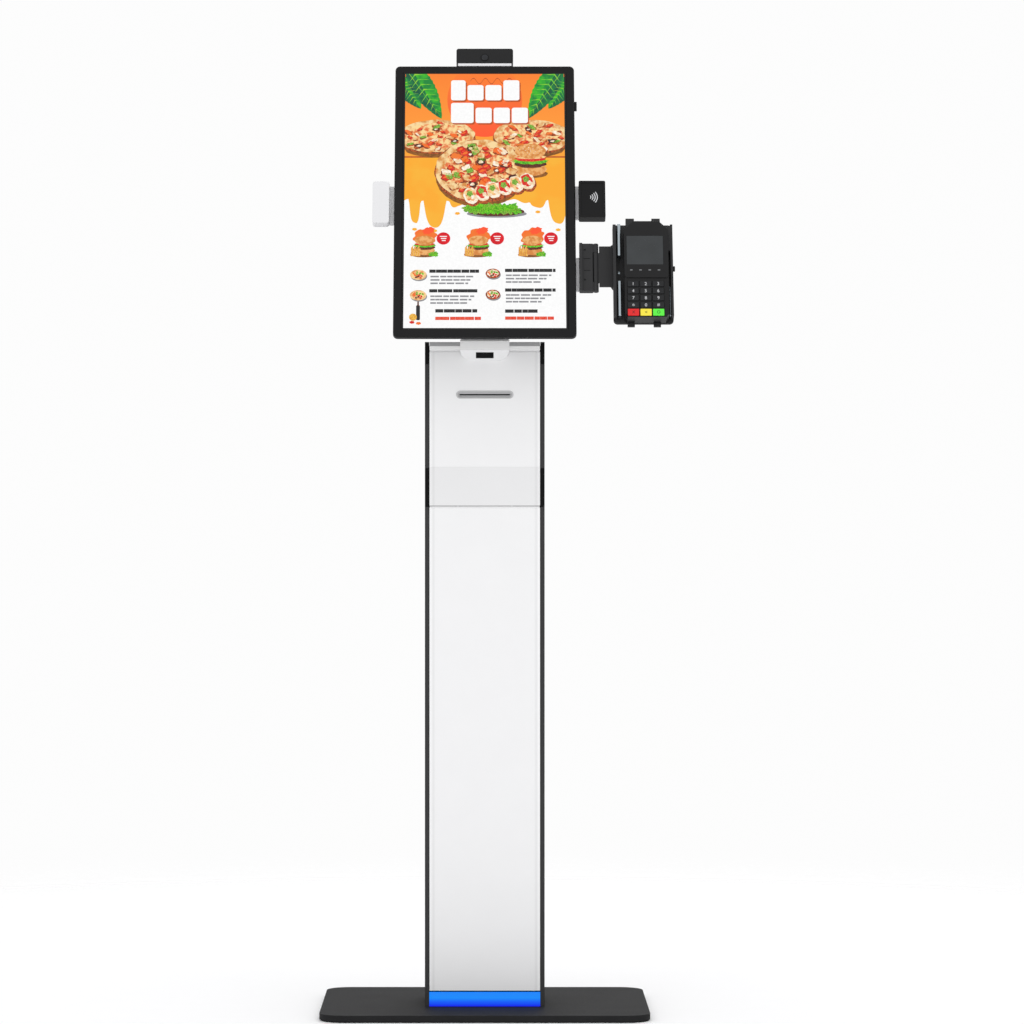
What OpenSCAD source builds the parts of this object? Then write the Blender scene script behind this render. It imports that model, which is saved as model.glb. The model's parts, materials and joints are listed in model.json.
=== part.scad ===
// Floor-standing self-service kiosk: portrait touch display on a slim column,
// with a receipt printer, a code scanner, a contactless reader and a card terminal.
// Origin: on the floor, under the centre of the column. +Z up, the front faces -Y.

/* [Base] */
// Width of the base plate
base_w = 546; // [460:1:620]
// Depth of the base plate
base_d = 394; // [330:1:460]
// Corner radius of the base plate
base_r = 40; // [10:1:60]
// Thickness of the steel base plate
base_t = 10; // [8:1:16]
// Thickness of the rubber pad under it
pad_t = 2; // [1.5:0.5:4]
// Distance between the floor anchors across the kiosk
anchor_x = 110; // [80:1:120]
// Distance between the floor anchors front to back
anchor_y = 76; // [60:1:84]
// Radius of a floor anchor hole
anchor_r = 6.5; // [4:0.5:7]

/* [Column] */
// Width of the column
col_w = 200; // [180:1:240]
// Depth of the column
col_d = 150; // [140:1:190]
// Height of the column's top above the floor
col_top = 1122; // [950:1:1300]
// Thickness of the column's sheet steel
sheet = 2; // [1.5:0.5:3]
// Width of each corner post, seen from the front
post_w = 7; // [6:0.5:10]
// Depth of each corner post
post_d = 12; // [11:0.5:16]
// Thickness of the column's foot
foot_t = 5; // [4:0.5:8]
// Height of the blue light strip
strip_h = 24; // [16:1:40]

/* [Doors] */
// Height of the printer door
door_h = 257; // [240:1:270]
// Thickness of the door and panel skins
skin = 1.5; // [1.2:0.1:2]
// Depth of the folded sides of the doors
fold_d = 20; // [14:1:24]
// Seam between the doors and their neighbours
seam = 3.3; // [3:0.1:5]
// Gap at each side of the doors
side_gap = 0.7; // [0.5:0.1:1.5]
// Height of the printer door's lower band
band_h = 65; // [40:1:80]
// Width of the receipt slot's bezel
slot_w = 96; // [92:1:110]
// Height of the receipt slot's bezel
slot_h = 13.4; // [11:0.1:18]

/* [Scanner] */
// Width of the scanner hood
hood_w = 82; // [70:1:100]
// How far the hood stands out of the door
hood_d = 38; // [32:1:50]
// Height of the hood
hood_h = 33; // [30:1:40]
// Wall of the hood
hood_wall = 2.5; // [2:0.5:4]

/* [Head] */
// Width of the display head
head_w = 302; // [290:1:340]
// Height of the display head
head_h = 507; // [496:1:560]
// Thickness of the front frame
frame_t = 10; // [9:0.5:14]
// Corner radius of the front frame
frame_r = 8; // [3:0.5:12]
// Width of the display's active area
screen_w = 268; // [255:1:270]
// Height of the display's active area
screen_h = 476; // [460:1:478]
// Black border of the glass around the active area
glass_border = 3.2; // [2:0.1:5]
// Thickness of the rear housing behind the frame
housing_d = 36; // [32:1:50]
// How far the rear housing is inset from the frame's edge
housing_inset = 25; // [20:1:30]
// Backward lean of the display
lean = 23; // [16:0.5:28]
// Distance of the head's lower front edge in front of the column's centre
head_y = 189; // [180:1:200]
// Gap between the column's top and the head's lower front edge
head_gap = 4.2; // [3:0.1:20]

/* [Card terminal] */
// Width of the terminal's case
term_w = 73; // [71:0.5:78]
// Length of the terminal's case
term_h = 175; // [172:1:190]
// Thickness of the terminal's case
term_t = 27; // [24:1:36]
// Distance between the head's edge and the terminal's cradle
arm_reach = 61; // [56:1:80]
// Travel of a key
key_travel = 1; // [0.6:0.1:1.2]

/* [Clearances] */
// Radial clearance of a shaft that turns in a bore
running = 0.05; // [0.02:0.01:0.1]
// Gap round a piece that slides or is let in
loose = 0.3; // [0.2:0.05:0.4]
// Joint line between sheets that are tacked together
tack = 0.05; // [0.03:0.01:0.1]

/* [Hidden] */
$fn = 64;

// Heights and faces of the column
plate_top = pad_t + base_t;
front_y = -col_d / 2;
back_y = col_d / 2;
inner_w = col_w - 2 * sheet;
mouth_w = col_w - 2 * post_w;
panel_w = mouth_w - 2 * side_gap;
strip_top = plate_top + strip_h;
cap_lip = 13.3;
cap_wall = 3;
cap_h = 10;
top_plate_t = 4;
top_plate_z = col_top - cap_h;
door_top = col_top - cap_lip - seam;
door_bottom = door_top - door_h;
panel_top = door_bottom - seam;
panel_bottom = strip_top + 2.5;
// Pivots of the doors, measured from each door's lower front edge
pivot_in = 5;
pivot_up = 6;
pivot_y = front_y + pivot_in;
hinge_r = 2;
hinge_boss_r = 4.4;
hinge_boss_l = 4;
// Printer bay
shelf_t = 3;
shelf_z = door_bottom - 8;
slot_z = door_top - 71.4;
printer_w = 120;
printer_front = front_y + 25;
printer_back = printer_front + 80;
printer_low = slot_z - 59;
printer_rim = slot_z - 3;
platen_r = 6;
platen_shaft_r = 2.5;
platen_y = printer_front + 9;
platen_z = slot_z + 5.5;
cover_low = slot_z + 2;
cover_top = slot_z + 18;
cover_hinge_y = printer_back - 3;
cover_hinge_z = slot_z + 12;
roll_r = 38;
roll_w = 79.5;
spindle_r = 6;
roll_z = shelf_z + 74;
// Hood on the printer door
hood_top = col_top + 2;
hood_low = hood_top - hood_h;
hood_back = front_y - 0.6;
hood_front = front_y - hood_d;
hood_slope = 16;
window_w = 29.6;
// Head, in its own leaning frame: x across, y into the depth, z up the screen
head_z = col_top + head_gap;
glass_w = screen_w + 2 * glass_border;
glass_h = screen_h + 2 * glass_border;
housing_w = head_w - 2 * housing_inset;
housing_h = head_h - 2 * housing_inset;
flange_t = 1.5;
wall = 2.5;
rear = frame_t + flange_t + housing_d;
tilt_t = 3;
tilt_pin_r = 6;
pivot_depth = rear + tilt_t + 28;
pivot_rise = head_h / 2 - 31;
tilt_y = -head_y + pivot_rise * sin(lean) + pivot_depth * cos(lean);
tilt_z = head_z + pivot_rise * cos(lean) - pivot_depth * sin(lean);
lug_gap = 72;
cheek_t = 4;
vesa = 100;
mount_t = 3;
reader_w = 44.3;
reader_h = 68.5;
reader_v = 218;
light_w = 28;
light_h = 78;
light_v = 208;
camera_w = 96;
camera_h = 28;
camera_strip = 5;
// Card terminal, placed from the head's right edge
edge_x = head_w / 2;
module_gap = 5.7;
adaptor_x = edge_x + module_gap;
adaptor_v = 86;
adaptor_h = 87;
swivel_x = adaptor_x + 27.3;
swivel_d = 9;
swivel_r = 4.5;
swivel_pin_r = 2.5;
knuckle_h = 16;
arm_t = 4;
cradle_x = edge_x + arm_reach;
cradle_w = term_w + 26;
cradle_v = 25.6;
cradle_h = term_h + 6.4;
cradle_d = 5;
cradle_t = 4;
cradle_wall_d = 17;
term_x = cradle_x + 18;
term_v = cradle_v + 0.6;
term_front = cradle_d - term_t;
bezel_rise = 2;
keypad_h = 71;
key_w = 18.6;
key_pitch_x = 20.6;
key_pitch_v = 12.9;
key_h = 10;
colour_key_h = 12.4;
key_proud = 1.5;
key_body = 5;
key_v0 = term_v + 59.7;
colour_key_v = term_v + 8;
display_v = term_v + 95;
display_h = 53;
display_w = 60.5;
keypad_x = term_x + 34.7;

// A block between two corners
module block(x, y, z) translate([x[0], y[0], z[0]]) cube([x[1] - x[0], y[1] - y[0], z[1] - z[0]]);

// A flat outline drawn in x and z, given thickness from y0 to y1
module slab(y0, y1) translate([0, y1, 0]) rotate([90, 0, 0]) linear_extrude(y1 - y0) children();

// A cylinder along x
module rod_x(x0, x1, r) translate([x0, 0, 0]) rotate([0, 90, 0]) cylinder(r = r, h = x1 - x0);

// A rectangle with round corners, centred
module round_rect(w, h, r) {
  square([w - 2 * r, h], center = true);
  square([w, h - 2 * r], center = true);
  for (sx = [-1, 1], sy = [-1, 1]) translate([sx * (w / 2 - r), sy * (h / 2 - r)]) circle(r);
}

// A slot outline with round ends, centred
module stadium(w, h) {
  square([w - h, h], center = true);
  for (s = [-1, 1]) translate([s * (w - h) / 2, 0]) circle(h / 2);
}

// The head's own frame, and the place of its rear centre
module in_head() translate([0, -head_y, head_z]) rotate([-lean, 0, 0]) children();
module in_head_centre() in_head() translate([0, 0, head_h / 2]) children();

// The four corners of a rectangle
module corners(dx, dy) for (sx = [-1, 1], sy = [-1, 1]) translate([sx * dx / 2, sy * dy / 2]) children();

// ---- base ----

foot_bolt_x = 160;
foot_bolt_y = 100;
foot_bolt_r = 4;

module anchor_holes(z0, z1)
  translate([0, 0, z0 - 1]) corners(anchor_x, anchor_y) cylinder(r = anchor_r, h = z1 - z0 + 2);

module base_pad() color([0.08, 0.08, 0.09]) difference() {
  linear_extrude(pad_t) round_rect(base_w - 4, base_d - 4, base_r - 2);
  anchor_holes(0, pad_t);
}

module base_plate() color([0.24, 0.24, 0.25]) difference() {
  translate([0, 0, pad_t]) linear_extrude(base_t) round_rect(base_w, base_d, base_r);
  anchor_holes(pad_t, plate_top);
  translate([0, 0, pad_t + 1]) corners(foot_bolt_x, foot_bolt_y)
    cylinder(r = foot_bolt_r + running, h = base_t);
}

module foot_bolts() color([0.6, 0.6, 0.62]) corners(foot_bolt_x, foot_bolt_y) {
  translate([0, 0, pad_t + 1.5]) cylinder(r = foot_bolt_r, h = base_t + foot_t - 1.5);
  translate([0, 0, plate_top + foot_t]) cylinder(r = 7.5, h = 5.3, $fn = 6);
}

// ---- column ----

trim_t = 3;
trim_low = [door_bottom - 2, door_bottom + 63];
trim_high = [col_top - 37, col_top - 2];

module trim_blocks(grow) for (s = [-1, 1], z = [trim_low, trim_high])
  block([s > 0 ? mouth_w / 2 - grow : -col_w / 2 - grow, s > 0 ? col_w / 2 + grow : -mouth_w / 2 + grow],
    [front_y - grow, front_y + trim_t], z);

module side_trims() color([0.03, 0.03, 0.03]) trim_blocks(0);

inlet_z = 80;
inlet_w = 27.6;
inlet_h = 20;
neck_bolt_x = 100;
neck_bolt_y = 56;
neck_bolt_r = 2.5;
bay_back = back_y - sheet - tack;

// The folded sheet of the column: two sides and the back
module column_sheet() {
  for (s = [-1, 1]) block([s > 0 ? inner_w / 2 : -col_w / 2, s > 0 ? col_w / 2 : -inner_w / 2],
    [front_y, back_y], [plate_top, col_top]);
  block([-col_w / 2, col_w / 2], [back_y - sheet, back_y], [plate_top, col_top]);
}

// A corner post inside each side sheet, with the pins that carry the two doors
module column_posts() for (s = [-1, 1]) {
  inner = inner_w / 2 - tack;
  block([s > 0 ? mouth_w / 2 : -inner, s > 0 ? inner : -mouth_w / 2],
    [front_y, front_y + post_d], [plate_top, col_top]);
  for (z = [door_bottom + pivot_up, panel_bottom + pivot_up]) translate([0, pivot_y, z])
    rod_x(s > 0 ? mouth_w / 2 - hinge_boss_l : -mouth_w / 2 - 1,
      s > 0 ? mouth_w / 2 + 1 : -mouth_w / 2 + hinge_boss_l, hinge_r);
}

// A plate across the inside of the column
module cross_plate(y0, z0, z1) block([-inner_w / 2 + tack, inner_w / 2 - tack], [y0, bay_back], [z0, z1]);

module column_channel() color([0.25, 0.25, 0.26]) difference() {
  union() {
    column_sheet();
    column_posts();
    cross_plate(front_y + post_d + tack, plate_top, plate_top + foot_t);
    cross_plate(front_y + fold_d + 4, shelf_z - shelf_t, shelf_z);
    cross_plate(front_y + post_d + tack, top_plate_z - top_plate_t, top_plate_z);
  }
  trim_blocks(0.01);
  anchor_holes(plate_top, plate_top + foot_t);
  translate([0, 0, plate_top - 1]) corners(foot_bolt_x, foot_bolt_y)
    cylinder(r = foot_bolt_r + running, h = foot_t + 2);
  translate([0, 0, top_plate_z - top_plate_t - 1]) {
    cylinder(r = 18, h = top_plate_t + 2);
    corners(neck_bolt_x, neck_bolt_y) cylinder(r = neck_bolt_r, h = top_plate_t + 2);
  }
  block([-inlet_w / 2, inlet_w / 2], [back_y - sheet - 1, back_y + 1],
    [inlet_z - inlet_h / 2, inlet_z + inlet_h / 2]);
}

neck_half = lug_gap / 2 + cheek_t;
neck_flange = 4;
neck_reach = 42;

module column_top_cap() color([0.72, 0.72, 0.73]) difference() {
  union() {
    block([-panel_w / 2, panel_w / 2], [front_y, back_y - sheet - loose], [top_plate_z, col_top]);
    block([-panel_w / 2, panel_w / 2], [front_y, front_y + post_d - 1], [col_top - cap_lip, col_top]);
  }
  block([-panel_w / 2 + cap_wall, panel_w / 2 - cap_wall],
    [front_y + post_d, back_y - sheet - cap_wall], [top_plate_z - 1, col_top - cap_wall]);
  block([-neck_half - 1, neck_half + 1], [-neck_reach - 1, neck_reach + 1], [top_plate_z, col_top + 1]);
}

module light_diffuser() color([0.05, 0.4, 1]) block([-mouth_w / 2 + loose, mouth_w / 2 - loose],
  [front_y, front_y + 5], [plate_top, strip_top]);

module light_board() color([0.9, 0.9, 0.88]) {
  block([-85, 85], [front_y + 6, front_y + 7.6], [plate_top + 1, plate_top + 17]);
  for (i = [-7 : 7]) block([11 * i - 2.5, 11 * i + 2.5], [front_y + 5, front_y + 6],
    [plate_top + 6.5, plate_top + 11.5]);
}

module power_inlet() color([0.06, 0.06, 0.06]) difference() {
  union() {
    block([-inlet_w / 2 + loose, inlet_w / 2 - loose], [back_y - 18, back_y + 2],
      [inlet_z - inlet_h / 2 + loose, inlet_z + inlet_h / 2 - loose]);
    block([-25, 25], [back_y, back_y + 2], [inlet_z - 12, inlet_z + 12]);
  }
  difference() {
    block([-11.5, 11.5], [back_y - 14, back_y + 3], [inlet_z - 8, inlet_z + 8]);
    for (x = [-7, 0, 7]) block([x - 1, x + 1], [back_y - 15, back_y - 6], [inlet_z - 2, inlet_z + 2]);
  }
  for (s = [-1, 1]) translate([s * 20, back_y - 1, inlet_z]) rotate([-90, 0, 0])
    cylinder(r = 1.6, h = 4);
}

module power_supply() color([0.7, 0.71, 0.72]) {
  block([-55, 55], [back_y - sheet - 45, back_y - sheet], [120, 280]);
  block([-50, 50], [back_y - sheet - 40, back_y - sheet - 6], [280, 292]);
}

// ---- doors ----

// A door from z0 to z1: its skin, a rail at each side with a pivot boss at the foot, and a top rail
module stiffened_door(z0, z1) {
  behind = front_y + skin + tack;
  block([-panel_w / 2, panel_w / 2], [front_y, front_y + skin], [z0, z1]);
  block([-panel_w / 2 + skin + tack, panel_w / 2 - skin - tack], [behind, front_y + 14], [z1 - skin, z1]);
  difference() {
    for (s = [-1, 1]) {
      x0 = s > 0 ? panel_w / 2 - hinge_boss_l : -panel_w / 2;
      block([s > 0 ? panel_w / 2 - skin : -panel_w / 2, s > 0 ? panel_w / 2 : -panel_w / 2 + skin],
        [behind, front_y + fold_d], [z0 + 2 * pivot_up, z1]);
      translate([0, pivot_y, z0 + pivot_up]) rod_x(x0, x0 + hinge_boss_l, hinge_boss_r);
      block([x0, x0 + hinge_boss_l], [behind, pivot_y + 3], [z0 + pivot_up, z0 + 2 * pivot_up + 2]);
    }
    translate([0, pivot_y, z0 + pivot_up]) rod_x(-panel_w / 2 - 1, panel_w / 2 + 1, hinge_r + running);
    block([-panel_w, panel_w], [front_y - 1, behind], [z0 - 1, z1 + 1]);
  }
}

module lower_panel() color([0.94, 0.94, 0.94]) stiffened_door(panel_bottom, panel_top);

module printer_door() color([0.94, 0.94, 0.94]) difference() {
  stiffened_door(door_bottom, door_top);
  block([-panel_w / 2 - 1, panel_w / 2 + 1], [front_y - 1, front_y + skin / 2],
    [door_bottom - 1, door_bottom + band_h]);
  slab(front_y - 1, front_y + skin + 1) translate([0, slot_z]) stadium(slot_w - 2, slot_h - 2);
  translate([0, front_y - 1, hood_low + 9]) rotate([-90, 0, 0]) cylinder(r = 6, h = skin + 2);
}

module door_band() color([0.9, 0.9, 0.9])
  block([-panel_w / 2, panel_w / 2], [front_y, front_y + skin / 2], [door_bottom, door_bottom + band_h]);

slot_mouth_w = 84;
slot_mouth_h = 5.6;
slot_depth = 12;

module slot_bezel() color([0.6, 0.6, 0.6]) difference() {
  union() {
    slab(front_y - 1, front_y) translate([0, slot_z]) stadium(slot_w, slot_h);
    slab(front_y, front_y + slot_depth) translate([0, slot_z]) stadium(slot_w - 2, slot_h - 2);
  }
  slab(front_y - 2, front_y + 4) translate([0, slot_z]) stadium(slot_w - 5, slot_h - 4);
  block([-slot_mouth_w / 2, slot_mouth_w / 2], [front_y - 2, front_y + slot_depth + 1],
    [slot_z - slot_mouth_h / 2, slot_z + slot_mouth_h / 2]);
}

// Side outline of the hood, made smaller all round by inset
module hood_side(inset) rotate([90, 0, 90]) linear_extrude(hood_w - 2 * inset, center = true)
  polygon([[front_y, hood_low + inset],
    [front_y, hood_top - inset], [hood_front + 2 + inset, hood_top - inset],
    [hood_front + inset, hood_top - 2 - inset], [hood_front + inset, hood_low + hood_slope + inset]]);

// Front outline of the hood, round at its lower corners
module hood_face(inset) {
  r = 18 - inset;
  w = hood_w / 2 - inset;
  for (s = [-1, 1]) translate([s * (w - r), hood_low + inset + r]) circle(r);
  translate([-(w - r), hood_low + inset]) square([2 * (w - r), r]);
  translate([-w, hood_low + inset + r]) square([2 * w, hood_h - 2 * inset - r]);
}

module hood_body(inset) intersection() {
  slab(hood_front - 1, front_y) hood_face(inset);
  hood_side(inset);
}

module hood_window(grow) intersection() {
  block([-window_w / 2 - grow, window_w / 2 + grow], [hood_front + 8 - grow, hood_front + 30 + grow],
    [hood_low, hood_top - 8]);
  difference() {
    hood_side(0);
    hood_side(hood_wall);
  }
}

module scanner_hood() color([0.95, 0.95, 0.95]) difference() {
  hood_body(0);
  hood_body(hood_wall);
  hood_window(0);
  block([-hood_w, hood_w], [hood_back, front_y + 1], [door_top, hood_top + 1]);
}

module scanner_window() color([0.01, 0.01, 0.01]) hood_window(-0.05);

module scanner_module() color([0.1, 0.3, 0.15])
  block([-22, 22], [front_y - 18, front_y], [hood_top - hood_wall - 15, hood_top - hood_wall - 3]);

// ---- receipt printer ----

cheek_x = 44;

module printer_stand() color([0.6, 0.6, 0.62]) {
  for (s = [-1, 1]) block([s > 0 ? cheek_x : -cheek_x - 3, s > 0 ? cheek_x + 3 : -cheek_x],
    [-30, 30], [shelf_z, printer_low]);
  translate([0, 0, roll_z]) rod_x(-cheek_x - 1, cheek_x + 1, spindle_r);
}

module paper_roll() color([0.95, 0.95, 0.93]) translate([0, 0, roll_z]) difference() {
  rod_x(-roll_w / 2, roll_w / 2, roll_r);
  rod_x(-roll_w / 2 - 1, roll_w / 2 + 1, spindle_r + running);
}

module printer_body() color([0.12, 0.12, 0.13]) {
  difference() {
    block([-printer_w / 2, printer_w / 2], [printer_front, printer_back], [printer_low, printer_rim]);
    block([-printer_w / 2 + 3, printer_w / 2 - 3], [printer_front + 4, printer_back - 4],
      [printer_low + 4, printer_rim + 1]);
    block([-41, 41], [-6, 2], [printer_low - 1, printer_low + 5]);
  }
  block([-45, 45], [printer_front + 3, printer_front + 14], [printer_rim - 12, platen_z - platen_r - 0.5]);
  for (s = [-1, 1]) {
    x0 = s > 0 ? printer_w / 2 - 3.5 : -printer_w / 2;
    block([x0, x0 + 3.5], [cover_hinge_y - 5, printer_back], [printer_rim - 3, cover_hinge_z]);
    translate([0, cover_hinge_y, cover_hinge_z]) {
      rod_x(x0, x0 + 3.5, 5);
      rod_x(s > 0 ? printer_w / 2 - 9 : -printer_w / 2 + 1,
        s > 0 ? printer_w / 2 - 1 : -printer_w / 2 + 9, hinge_r);
    }
  }
}

module printer_cover() color([0.3, 0.3, 0.32]) difference() {
  union() {
    block([-printer_w / 2, printer_w / 2], [printer_front, cover_hinge_y - 9], [cover_top - 3, cover_top]);
    block([-printer_w / 2 + 4, printer_w / 2 - 4], [printer_front, printer_back],
      [cover_top - 3, cover_top]);
    for (s = [-1, 1]) {
      x0 = s > 0 ? printer_w / 2 - 10 : -printer_w / 2 + 4;
      block([x0, x0 + 6], [platen_y - 6, platen_y + 6], [cover_low, cover_top - 3]);
      block([x0, x0 + 6], [cover_hinge_y - 4, printer_back - 1], [cover_hinge_z, cover_top - 3]);
      translate([0, cover_hinge_y, cover_hinge_z]) rod_x(x0, x0 + 6, hinge_boss_r);
    }
  }
  translate([0, cover_hinge_y, cover_hinge_z])
    rod_x(-printer_w / 2 - 1, printer_w / 2 + 1, hinge_r + running);
  translate([0, platen_y, platen_z])
    rod_x(-printer_w / 2 - 1, printer_w / 2 + 1, platen_shaft_r + running);
}

module platen_roller() color([0.15, 0.15, 0.15]) translate([0, platen_y, platen_z]) {
  rod_x(-roll_w / 2 - 1, roll_w / 2 + 1, platen_r);
  rod_x(-printer_w / 2 + 5, printer_w / 2 - 5, platen_shaft_r);
}

// ---- neck and tilt ----

module neck_bracket() color([0.95, 0.95, 0.95]) difference() {
  union() {
    block([-60, 60], [-neck_reach, neck_reach], [top_plate_z, top_plate_z + neck_flange]);
    for (s = [-1, 1]) translate([s * (lug_gap + cheek_t) / 2, 0, 0]) rotate([90, 0, 90])
      linear_extrude(cheek_t, center = true) {
        polygon([[-neck_reach + 6, top_plate_z + 1], [neck_reach - 2, top_plate_z + 1],
          [tilt_y + 17, tilt_z], [tilt_y - 17, tilt_z]]);
        translate([tilt_y, tilt_z]) circle(17);
      }
    block([-neck_half + 1, neck_half - 1], [neck_reach - 5, neck_reach - 2],
      [top_plate_z + 1, top_plate_z + 60]);
  }
  translate([0, tilt_y, tilt_z]) rod_x(-neck_half - 1, neck_half + 1, tilt_pin_r + 0.02);
  translate([0, 0, top_plate_z - 1]) {
    corners(neck_bolt_x, neck_bolt_y) cylinder(r = neck_bolt_r, h = neck_flange + 2);
    cylinder(r = 18, h = neck_flange + 2);
  }
}

module tilt_pin() color([0.75, 0.75, 0.77]) translate([0, tilt_y, tilt_z]) {
  rod_x(-neck_half - 4, neck_half + 4, tilt_pin_r);
  for (s = [-1, 1]) translate([s * (neck_half + 2), 0, 0]) rod_x(-2, 2, 10);
}

lug_t = 6;

module tilt_plate() color([0.5, 0.5, 0.52]) in_head() difference() {
  union() {
    slab(rear, rear + tilt_t) translate([0, head_h / 2]) round_rect(vesa + 20, vesa + 20, 6);
    for (s = [-1, 1]) {
      x0 = s > 0 ? lug_gap / 2 - lug_t - loose : -lug_gap / 2 + loose;
      block([x0, x0 + lug_t], [rear + tilt_t - 1, pivot_depth], [pivot_rise - 14, pivot_rise + 14]);
      translate([0, pivot_depth, pivot_rise]) rod_x(x0, x0 + lug_t, 14);
    }
  }
  translate([0, pivot_depth, pivot_rise]) rod_x(-lug_gap, lug_gap, tilt_pin_r + running);
  translate([0, rear - 1, head_h / 2]) rotate([-90, 0, 0]) corners(vesa, vesa) cylinder(r = 2.2, h = 9);
}

module vesa_screws() color([0.7, 0.7, 0.72]) in_head_centre() rotate([-90, 0, 0]) corners(vesa, vesa) {
  translate([0, 0, rear - wall]) cylinder(r = 2, h = wall + tilt_t + 1);
  translate([0, 0, rear + tilt_t]) cylinder(r = 4, h = 2.6);
}

// ---- display head ----

module button_pocket(grow) block([edge_x - 5.5 + grow, edge_x + 5], [3 - grow, 8 + grow],
  [423 - grow, 440 + grow]);

module head_bezel() color([0.2, 0.2, 0.21]) in_head() difference() {
  translate([0, 0, head_h / 2]) slab(0, frame_t) round_rect(head_w, head_h, frame_r);
  translate([0, 0, head_h / 2]) slab(-1, frame_t + 1) square([glass_w + 0.4, glass_h + 0.4], center = true);
  button_pocket(0);
}

module touch_glass() color([0.9, 0.5, 0.15]) in_head_centre() slab(0.5, 3.5)
  square([glass_w, glass_h], center = true);

module lcd_panel() color([0.3, 0.3, 0.3]) in_head_centre() slab(3.5, frame_t)
  square([glass_w - 1, glass_h - 1], center = true);

module rear_housing() color([0.12, 0.12, 0.13]) in_head_centre() difference() {
  union() {
    slab(frame_t, frame_t + flange_t) round_rect(head_w - 6, head_h - 6, frame_r - 2);
    slab(frame_t, rear) round_rect(housing_w, housing_h, 14);
  }
  slab(frame_t - 1, rear - wall) round_rect(housing_w - 2 * wall, housing_h - 2 * wall, 14 - wall);
  rotate([-90, 0, 0]) translate([0, 0, rear - wall - 1]) corners(vesa, vesa) cylinder(r = 2.05, h = wall + 2);
  for (i = [-9 : 9], s = [-1, 1]) block([10 * i - 1.5, 10 * i + 1.5], [rear - wall - 1, rear + 1],
    [s * 165 - 22, s * 165 + 22]);
}

board_d = rear - wall - 8;

module main_board() color([0.05, 0.3, 0.12]) in_head_centre() {
  slab(board_d, board_d + 1.6) square([170, 150], center = true);
  for (sx = [-1, 1], sz = [-1, 1]) translate([sx * 78, board_d + 1, sz * 68]) rotate([-90, 0, 0])
    cylinder(r = 4, h = rear - wall - board_d - 1);
  block([-20, 20], [board_d - 6, board_d], [-20, 20]);
  block([40, 70], [board_d - 9, board_d], [-60, -10]);
}

module speakers() color([0.08, 0.08, 0.08]) in_head() for (s = [-1, 1])
  block([s * 75 - 30, s * 75 + 30], [rear - wall - 20, rear - wall], [40, 68]);

module side_button() color([0.1, 0.1, 0.1]) in_head()
  block([edge_x - 4, edge_x + 4], [3 + loose, 8 - loose], [423 + loose, 440 - loose]);

module camera_housing() color([0.18, 0.18, 0.19]) in_head()
  translate([0, 0, head_h + camera_strip + camera_h / 2]) difference() {
    slab(-1, 18) round_rect(camera_w, camera_h, 4);
    translate([0, -2, -3.5]) rotate([-90, 0, 0]) cylinder(r = 6, h = 4);
  }

module camera_lens() color([0.02, 0.02, 0.03]) in_head()
  translate([0, 0, head_h + camera_strip + camera_h / 2 - 3.5]) rotate([90, 0, 0]) {
    translate([0, 0, -2]) cylinder(r = 5.7, h = 2.5);
    translate([0, 0, 0.5]) cylinder(r = 3.4, h = 0.8);
  }

mount_d = frame_t + flange_t;

module accessory_mounts() color([0.78, 0.78, 0.79]) in_head() {
  block([edge_x - housing_inset, adaptor_x], [mount_d, mount_d + mount_t], [reader_v + 3, reader_v + reader_h - 3]);
  block([edge_x - housing_inset, adaptor_x], [mount_d, mount_d + mount_t], [adaptor_v + 2, adaptor_v + 64]);
  block([-edge_x - 8, -edge_x + housing_inset], [mount_d, mount_d + mount_t],
    [light_v + 3, light_v + light_h - 3]);
  block([-44.5, 44.5], [mount_d, mount_d + mount_t], [head_h - housing_inset, head_h + camera_strip]);
}

module card_reader() color([0.14, 0.14, 0.15]) in_head()
  translate([adaptor_x + reader_w / 2, 0, reader_v + reader_h / 2]) difference() {
    slab(-3, mount_d + mount_t) round_rect(reader_w, reader_h, 2.5);
    slab(-4, -2) round_rect(reader_w - 8, reader_h - 8, 1.5);
  }

module status_light() color([0.92, 0.92, 0.92]) in_head()
  translate([-edge_x - 8 - light_w / 2, 0, light_v + light_h / 2]) slab(-3, mount_d + mount_t)
    round_rect(light_w, light_h, 5);

// ---- card terminal ----

module terminal_adaptor() color([0.1, 0.1, 0.11]) in_head() {
  difference() {
    union() {
      block([adaptor_x, swivel_x - swivel_r - 0.7], [5, mount_d + mount_t], [adaptor_v, adaptor_v + adaptor_h]);
      block([adaptor_x, adaptor_x + 5], [2, mount_d + mount_t], [adaptor_v, adaptor_v + adaptor_h]);
      for (v = [adaptor_v, adaptor_v + adaptor_h - knuckle_h]) {
        block([swivel_x - swivel_r - 2, swivel_x], [swivel_d - 3, swivel_d + 3], [v, v + knuckle_h]);
        translate([swivel_x, swivel_d, v]) cylinder(r = swivel_r, h = knuckle_h);
      }
    }
    for (v = [adaptor_v + 20, adaptor_v + 75]) translate([adaptor_x + 9, 4, v]) rotate([-90, 0, 0])
      cylinder(r = 2, h = 2.5);
    for (v = [adaptor_v + 37, adaptor_v + 59]) block([adaptor_x + 7, adaptor_x + 18], [4, 6], [v - 1, v + 1]);
  }
  translate([swivel_x, swivel_d, adaptor_v + 1]) cylinder(r = swivel_pin_r, h = adaptor_h - 2);
}

arm_v0 = adaptor_v + knuckle_h + loose;
arm_v1 = adaptor_v + adaptor_h - knuckle_h - loose;
arm_low = adaptor_v + 9;
arm_high = adaptor_v + adaptor_h - 4;

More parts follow.
